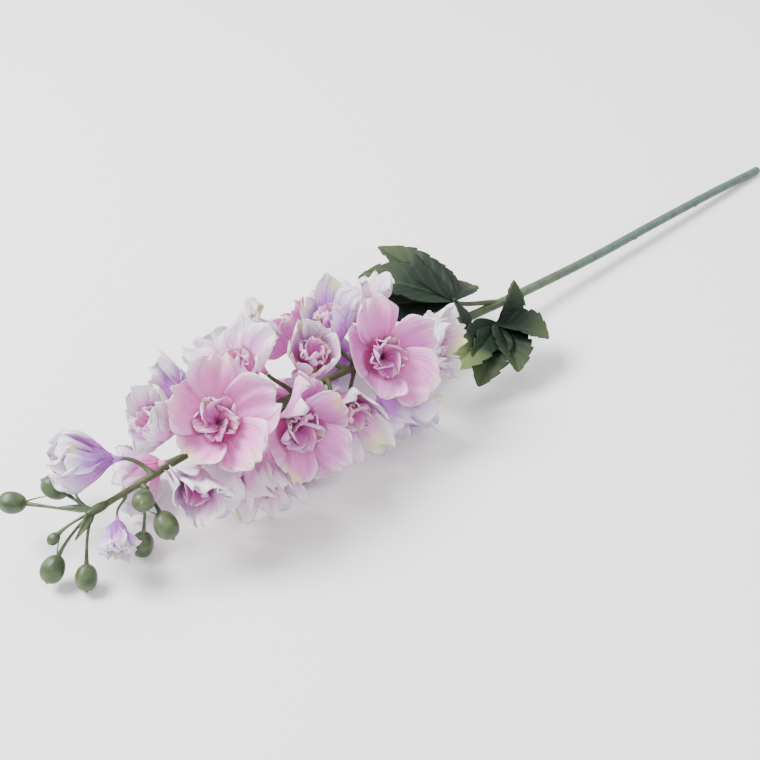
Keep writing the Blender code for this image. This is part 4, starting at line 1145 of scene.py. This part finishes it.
def pedicel_path(frame):
    """The route of a floret's pedicel, from inside the stem to just short of the calyx."""
    start = stem_axis(frame.floret.station + PEDICEL_START)
    end = frame.foot - frame.facing * TOUCH_GAP
    leave, arrive = PEDICEL_BEND
    return bezier(start, start + frame.radial * leave, end - frame.facing * arrive, end, 16)


def petiole_path(leaf):
    """The route of a leaf's petiole, from inside the stem to just short of the leaf's boss."""
    start = stem_axis(leaf.root)
    end = np.array(leaf.palm, dtype=float) - unit(leaf.facing) * (LEAF_BOSS_HEIGHT + TOUCH_GAP)
    leave, arrive = PETIOLE_BEND
    return bezier(start, start + (end - start) * leave, end - unit(leaf.facing) * arrive, end, 24)


stem_piece = tubes("moulded_stem", [stem_paths()], 28, STEM_PLASTIC)
bore_stations = np.linspace(STEM_CUT + 2, WIRE_INNER_END - TOUCH_GAP, 40)
bore_path = np.array([stem_axis(x) for x in bore_stations])
bore_path[:, 0] = bore_stations
bore = tubes("bore", [(bore_path, [WIRE_RADIUS + TOUCH_GAP] * len(bore_path))], 16, STEM_PLASTIC)
outward(stem_piece)
outward(bore)
drilled = stem_piece.modifiers.new("bore", "BOOLEAN")
drilled.operation = "DIFFERENCE"
drilled.object = bore
depsgraph = bpy.context.evaluated_depsgraph_get()
stem_mesh = bpy.data.meshes.new_from_object(stem_piece.evaluated_get(depsgraph))
stem_piece.modifiers.clear()
stem_piece.data = stem_mesh
bpy.data.objects.remove(bore)
print("stem:", len(stem_mesh.polygons), "faces after the bore")

# %% Pedicels, petioles and leaf scars
stalk_paths = []
for floret_frame in FLORET_FRAMES:
    path = pedicel_path(floret_frame)
    t = np.linspace(0, 1, len(path))
    widths = PEDICEL_RADIUS * (1.25 - 0.3 * t)
    widths = widths * (1 + 0.9 * np.exp(-((t - 0.0) / 0.2) ** 2)) * floret_frame.floret.size
    stalk_paths.append((path, widths))
for leaf in LEAVES:
    path = petiole_path(leaf)
    t = np.linspace(0, 1, len(path))
    stalk_paths.append((path, PETIOLE_RADIUS * (1.25 - 0.3 * t)))
stalk_piece = tubes("moulded_pedicels", stalk_paths, 12, STEM_PLASTIC)
outward(stalk_piece)

scars = Skin()
for k, x in enumerate(SCAR_STATIONS):
    angle = math.radians(SCAR_TURNS[k % len(SCAR_TURNS)])
    out = np.array([0, -math.sin(angle), math.cos(angle)])
    foot = stem_axis(x) + out * (stem_radius(x) - 1.6)
    profile = [(0.0, 1.7), (1.6, 1.65), (2.0, 1.4), (2.15, 1.1), (2.1, 0.6), (1.9, 0.3)]
    add_turned(scars, foot, out, profile, 14, (0, 0, 0))
scar_piece = scars.make("leaf_scars", STEM_PLASTIC)
for piece in (stem_piece, stalk_piece, scar_piece):
    dress(piece, ["stem"])
print("pedicels, petioles and", len(SCAR_STATIONS), "scars are on")

# %% [markdown]
# ## Leaves
# Each leaf is cut from coated cloth as a hand of pointed, toothed lobes. A lobe folds along its rib
# and arches from the palm to its tip. Side veins run from the rib to the teeth, pressed into the
# cloth, so they are relief as well as colour.

# %% Leaves
LEAF_FOLD = 0.22
LEAF_ROOT_WIDTH = 0.14
LEAF_BOSS_RADIUS = 1.9
LEAF_GRID = (61, 25)
LEAF_THICKNESS = 0.5
VEINS = 6


def lobe_points(palm, lobe, seed):
    """A lobe's middle surface with its teeth and veins, and where its veins run."""
    draw = random.Random(seed)
    palm = np.asarray(palm, dtype=float)
    run = np.asarray(lobe.tip, dtype=float) - palm
    face = np.asarray(lobe.face, dtype=float)
    face = unit(face - unit(run) * (face @ unit(run)))
    rows, columns = LEAF_GRID
    u = np.linspace(-1, 1, columns)[None, :]
    v = np.linspace(0, 1, rows)[:, None]
    body = LEAF_ROOT_WIDTH + (1 - LEAF_ROOT_WIDTH) * np.sin(math.pi / 2 * np.minimum(1.0, v / 0.42))
    taper = 1 - 0.75 * (np.maximum(v - 0.62, 0) / 0.38) ** 1.3
    taper = taper * np.sqrt(np.clip(1 - (np.maximum(v - 0.8, 0) / 0.2) ** 2.2, 0.003, 1))
    teeth = (v * 7.0 + draw.uniform(0, 1)) % 1.0
    toothed = 1 - 0.17 * teeth ** 1.6 * np.clip((v - 0.3) / 0.15, 0, 1)
    half = lobe.half_width * body * taper * (1 + (toothed - 1) * np.abs(u) ** 4)
    centre = palm + run * v[..., None] + face * (lobe.arch * 4 * v * (1 - v))[..., None]
    tangent = run + face * (lobe.arch * 4 * (1 - 2 * v))[..., None]
    tangent = tangent / np.linalg.norm(tangent, axis=-1, keepdims=True)
    side = np.cross(tangent, face)
    side = side / np.linalg.norm(side, axis=-1, keepdims=True)
    up = np.cross(side, tangent)
    along_vein = (v * 1.05 - 0.28 * np.abs(u)) * VEINS
    vein = np.exp(-((along_vein % 1.0 - 0.5) / 0.07) ** 2) * np.clip(v * 8, 0, 1)
    rib = np.exp(-(u / 0.05) ** 2)
    lift = half * LEAF_FOLD * (np.abs(u) * 2 - 1)
    phase = draw.uniform(0, 6.28)
    lift = lift + 0.7 * np.abs(u) ** 2 * np.sin(9 * v + phase + 1.5 * np.sign(u)) * np.sin(math.pi * v)
    lift = lift - 0.25 * vein * (1 - rib) - 0.45 * rib * (1 - v)
    lift = lift + 0.22 * np.sin(along_vein * 2 * math.pi) * np.abs(u) * (1 - np.abs(u) ** 4)
    points = centre + side * (half * u)[..., None] + up * lift[..., None]
    points[..., 2] = np.maximum(points[..., 2], 0.6)
    veins = np.clip(vein * 0.7 + rib, 0, 1)
    return points, np.broadcast_to(veins, points.shape[:2])


def build_leaf(number, leaf):
    """A palmate leaf with the boss that its petiole meets."""
    facing = unit(leaf.facing)
    foot = np.asarray(leaf.palm, dtype=float) - facing * LEAF_BOSS_HEIGHT
    skin = Skin()
    profile = [(LEAF_BOSS_HEIGHT * t * 1.35, LEAF_BOSS_RADIUS * (0.8 + 0.4 * math.sin(math.pi * t)))
               for t in np.linspace(0, 1, 8)]
    add_turned(skin, foot, facing, profile, 18, (0.3, 0.0, 0.0))
    for k, lobe in enumerate(leaf.lobes):
        points, veins = lobe_points(leaf.palm, lobe, f"leaf {number} {k}")
        # The tint's green share sets a painted highlight towards the lobe tips: strong on the fifth lobe
        # of leaf 2, faint on the rest
        pale = 0.9 if number == 2 and k == 4 else 0.15
        tint = np.stack((veins, np.full_like(veins, pale), np.zeros_like(veins)), axis=-1)
        skin.add_blade(points, LEAF_THICKNESS, tint, (2 * lobe.half_width, 60.0))
    piece = skin.make(f"leaf_{number}_cloth", LEAF_CLOTH)
    dress(piece, [f"leaf_{number}"])
    return len(piece.data.polygons)


for number, leaf in enumerate(LEAVES, start=1):
    print("leaf", number, "has", build_leaf(number, leaf), "faces")

# %% [markdown]
# ## Buds
# The buds are plump pods with five shallow lobes and a small nub, on thin stalks that branch from
# the tip. Some end in a curling spur. Pods are turned forms with their rings swelled in and out;
# stalks and spurs use the tube tree again.

# %% Buds
Bud = namedtuple("Bud", "middle diameter point spur")

TIP_BUDS = (
    Bud((-334, 42, 30), 12.0, (-0.7, 0.7, 0.1), 15),
    Bud((-313, 33, 34), 12.5, (-0.5, 0.6, 0.6), 0),
    Bud((-300, 50, 27), 10.5, (0.1, 0.9, 0.3), 0),
    Bud((-336, 2, 12), 12.5, (-0.6, -0.1, -0.7), 13),
    Bud((-325, -12, 9), 11.5, (-0.4, -0.4, -0.8), 0),
    Bud((-330, 6, 28), 6.0, (-0.8, 0.1, -0.5), 0),
)
SIDE_BUDS = (
    Bud((-290, -21, 49), 11.5, (-0.4, -0.7, 0.5), 0),
    Bud((-286, -34, 38), 12.5, (-0.1, -0.8, -0.5), 6),
    Bud((-291, -12, 9), 12.0, (-0.3, -0.1, -0.9), 0),
)
# The nub at a pod's blunt end: heights and radii as parts of its diameter
POD_NUB = ((0.585, 0.085), (0.635, 0.06), (0.66, 0.025))
STALK_RADIUS = 0.95
SPUR_RADIUS = 0.55
HUB_ROOT = 8.0
TIP_BOW = (-0.6, 0.0, 0.25)
SIDE_STATION = -280.0
SIDE_WAY = (0.0, -0.99, 0.12)
SIDE_BOW = (-0.11, -0.38, 0.04)
STUB_ROOT = 2.5
STUB_GAP = 0.25
TIP_BRACTS = (((-320, 19, 34), 3.0), ((-324, -7, 33), 2.6))


def pod(skin, bud):
    """A pod: a rounded turned form with five shallow lobes and a nub at its blunt end."""
    point = unit(bud.point)
    t = np.linspace(0, 1, 30)
    angle = math.pi * (0.06 + 0.94 * t)
    heights = -np.cos(angle) * 0.62 * bud.diameter - 0.04 * bud.diameter
    radii = np.sin(angle) ** 0.9 * 0.5 * bud.diameter
    radii = np.maximum(radii * (1 - 0.06 * np.cos(angle)), 0.02)
    sides = 40
    around = np.linspace(0, 2 * math.pi, sides, endpoint=False)
    lobes = 1 + 0.035 * np.cos(5 * around)[None, :] * np.sin(angle)[:, None]
    profile = list(zip(heights, radii))
    profile[-3:] = [(height * bud.diameter, radius * bud.diameter) for height, radius in POD_NUB]
    add_turned(skin, bud.middle, point, profile, sides, (0.5, 0.0, 0.0), swell=lobes)


def bud_paths(hub, bud, bow):
    """The stalk of a bud and, on some, its spur."""
    middle = np.asarray(bud.middle, dtype=float)
    point = unit(bud.point)
    neck = middle - point * bud.diameter * 0.6
    span = np.linalg.norm(neck - hub)
    leave = unit(neck - hub + np.asarray(bow) * span * 0.5)
    path = bezier(hub, hub + leave * span * 0.35, neck - point * span * 0.3, neck, 22)
    t = np.linspace(0, 1, 22)
    made = [(path, STALK_RADIUS * (1.1 - 0.25 * np.sin(math.pi * t) + 0.35 * t ** 6))]
    if bud.spur:
        aside = unit(np.cross(point, (0.2, 0.3, 1.0)))
        start = neck + point * 1.5
        path = bezier(start, start + aside * bud.spur * 0.4 - point * 2,
                      start + aside * bud.spur * 0.6 - point * bud.spur * 0.5,
                      start + aside * bud.spur * 0.9 - point * bud.spur * 0.8, 18)
        made.append((path, SPUR_RADIUS * np.linspace(1.0, 0.35, 18)))
    return made


def bract_points(root, tip, half_width):
    """A small pointed bract's middle surface."""
    root = np.asarray(root, dtype=float)
    run = np.asarray(tip, dtype=float) - root
    side = unit(np.cross(run, (0.3, -0.5, 0.8)))
    up = unit(np.cross(side, run))
    u = np.linspace(-1, 1, 9)[None, :, None]
    v = np.linspace(0, 1, 17)[:, None, None]
    half = half_width * (0.5 + 0.5 * np.sin(math.pi / 2 * np.minimum(1, v / 0.35)))
    half = half * np.clip(1 - ((v - 0.35) / 0.65), 0.02, 1) ** 0.8
    rise = 0.7 * np.sin(math.pi * v) - 0.6 * v ** 3
    return root + run * v + side * half * u + up * (rise + np.abs(u) * 0.6)


def build_spray(name, root, buds, bow, extra_skin, extra_paths):
    """One spray of buds: its pods, and its stalks as a second piece."""
    skin = Skin()
    extra_skin(skin)
    paths = list(extra_paths)
    for bud in buds:
        pod(skin, bud)
        paths.extend(bud_paths(root, bud, bow))
    pods = skin.make(f"{name}_pods", BUD_PLASTIC)
    dress(pods, [name])
    stalks = outward(tubes(f"{name}_stalks", paths, 12, BUD_PLASTIC))
    dress(stalks, [name])
    return len(buds)


tip_hub = stem_axis(STEM_TIP) - np.array([TOUCH_GAP, 0, 0])
tip_root = tip_hub + np.array([-HUB_ROOT, 0, 0])


def tip_extras(skin):
    """The tip's hub and its bracts."""
    profile = [(0, 1.9), (2, 2.35), (4, 2.6), (6.5, 2.55), (9, 2.3), (11, 1.7), (12, 1.2)]
    add_turned(skin, tip_hub, (-1, 0, 0), profile, 24, (0.5, 0.0, 0.0))
    for bract_tip, half_width in TIP_BRACTS:
        skin.add_blade(bract_points(tip_root, bract_tip, half_width), 0.6, (0.5, 0, 0), (6, 12))


def side_extras(skin):
    """The side spray's stub against the stem."""
    add_turned(skin, side_foot, side_way, [(0, 1.7), (1.5, 1.75), (3, 1.65), (4.5, 1.5)], 20,
               (0.5, 0.0, 0.0))


side_way = unit(SIDE_WAY)
side_foot = stem_axis(SIDE_STATION) + side_way * (stem_radius(SIDE_STATION) + TOUCH_GAP + STUB_GAP)
buds_made = build_spray("bud_spray_tip", tip_root, TIP_BUDS, TIP_BOW, tip_extras, [])
buds_made += build_spray("bud_spray_side", side_foot + side_way * STUB_ROOT, SIDE_BUDS, SIDE_BOW,
                         side_extras, [])
print(buds_made, "buds")

# %% Finish
visual_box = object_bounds()
sizes = {"cad": [list(corner) for corner in cad_box], "visual": [list(corner) for corner in visual_box]}
for label, box in sizes.items():
    print(label, [[round(value * 1000, 1) for value in corner] for corner in box])
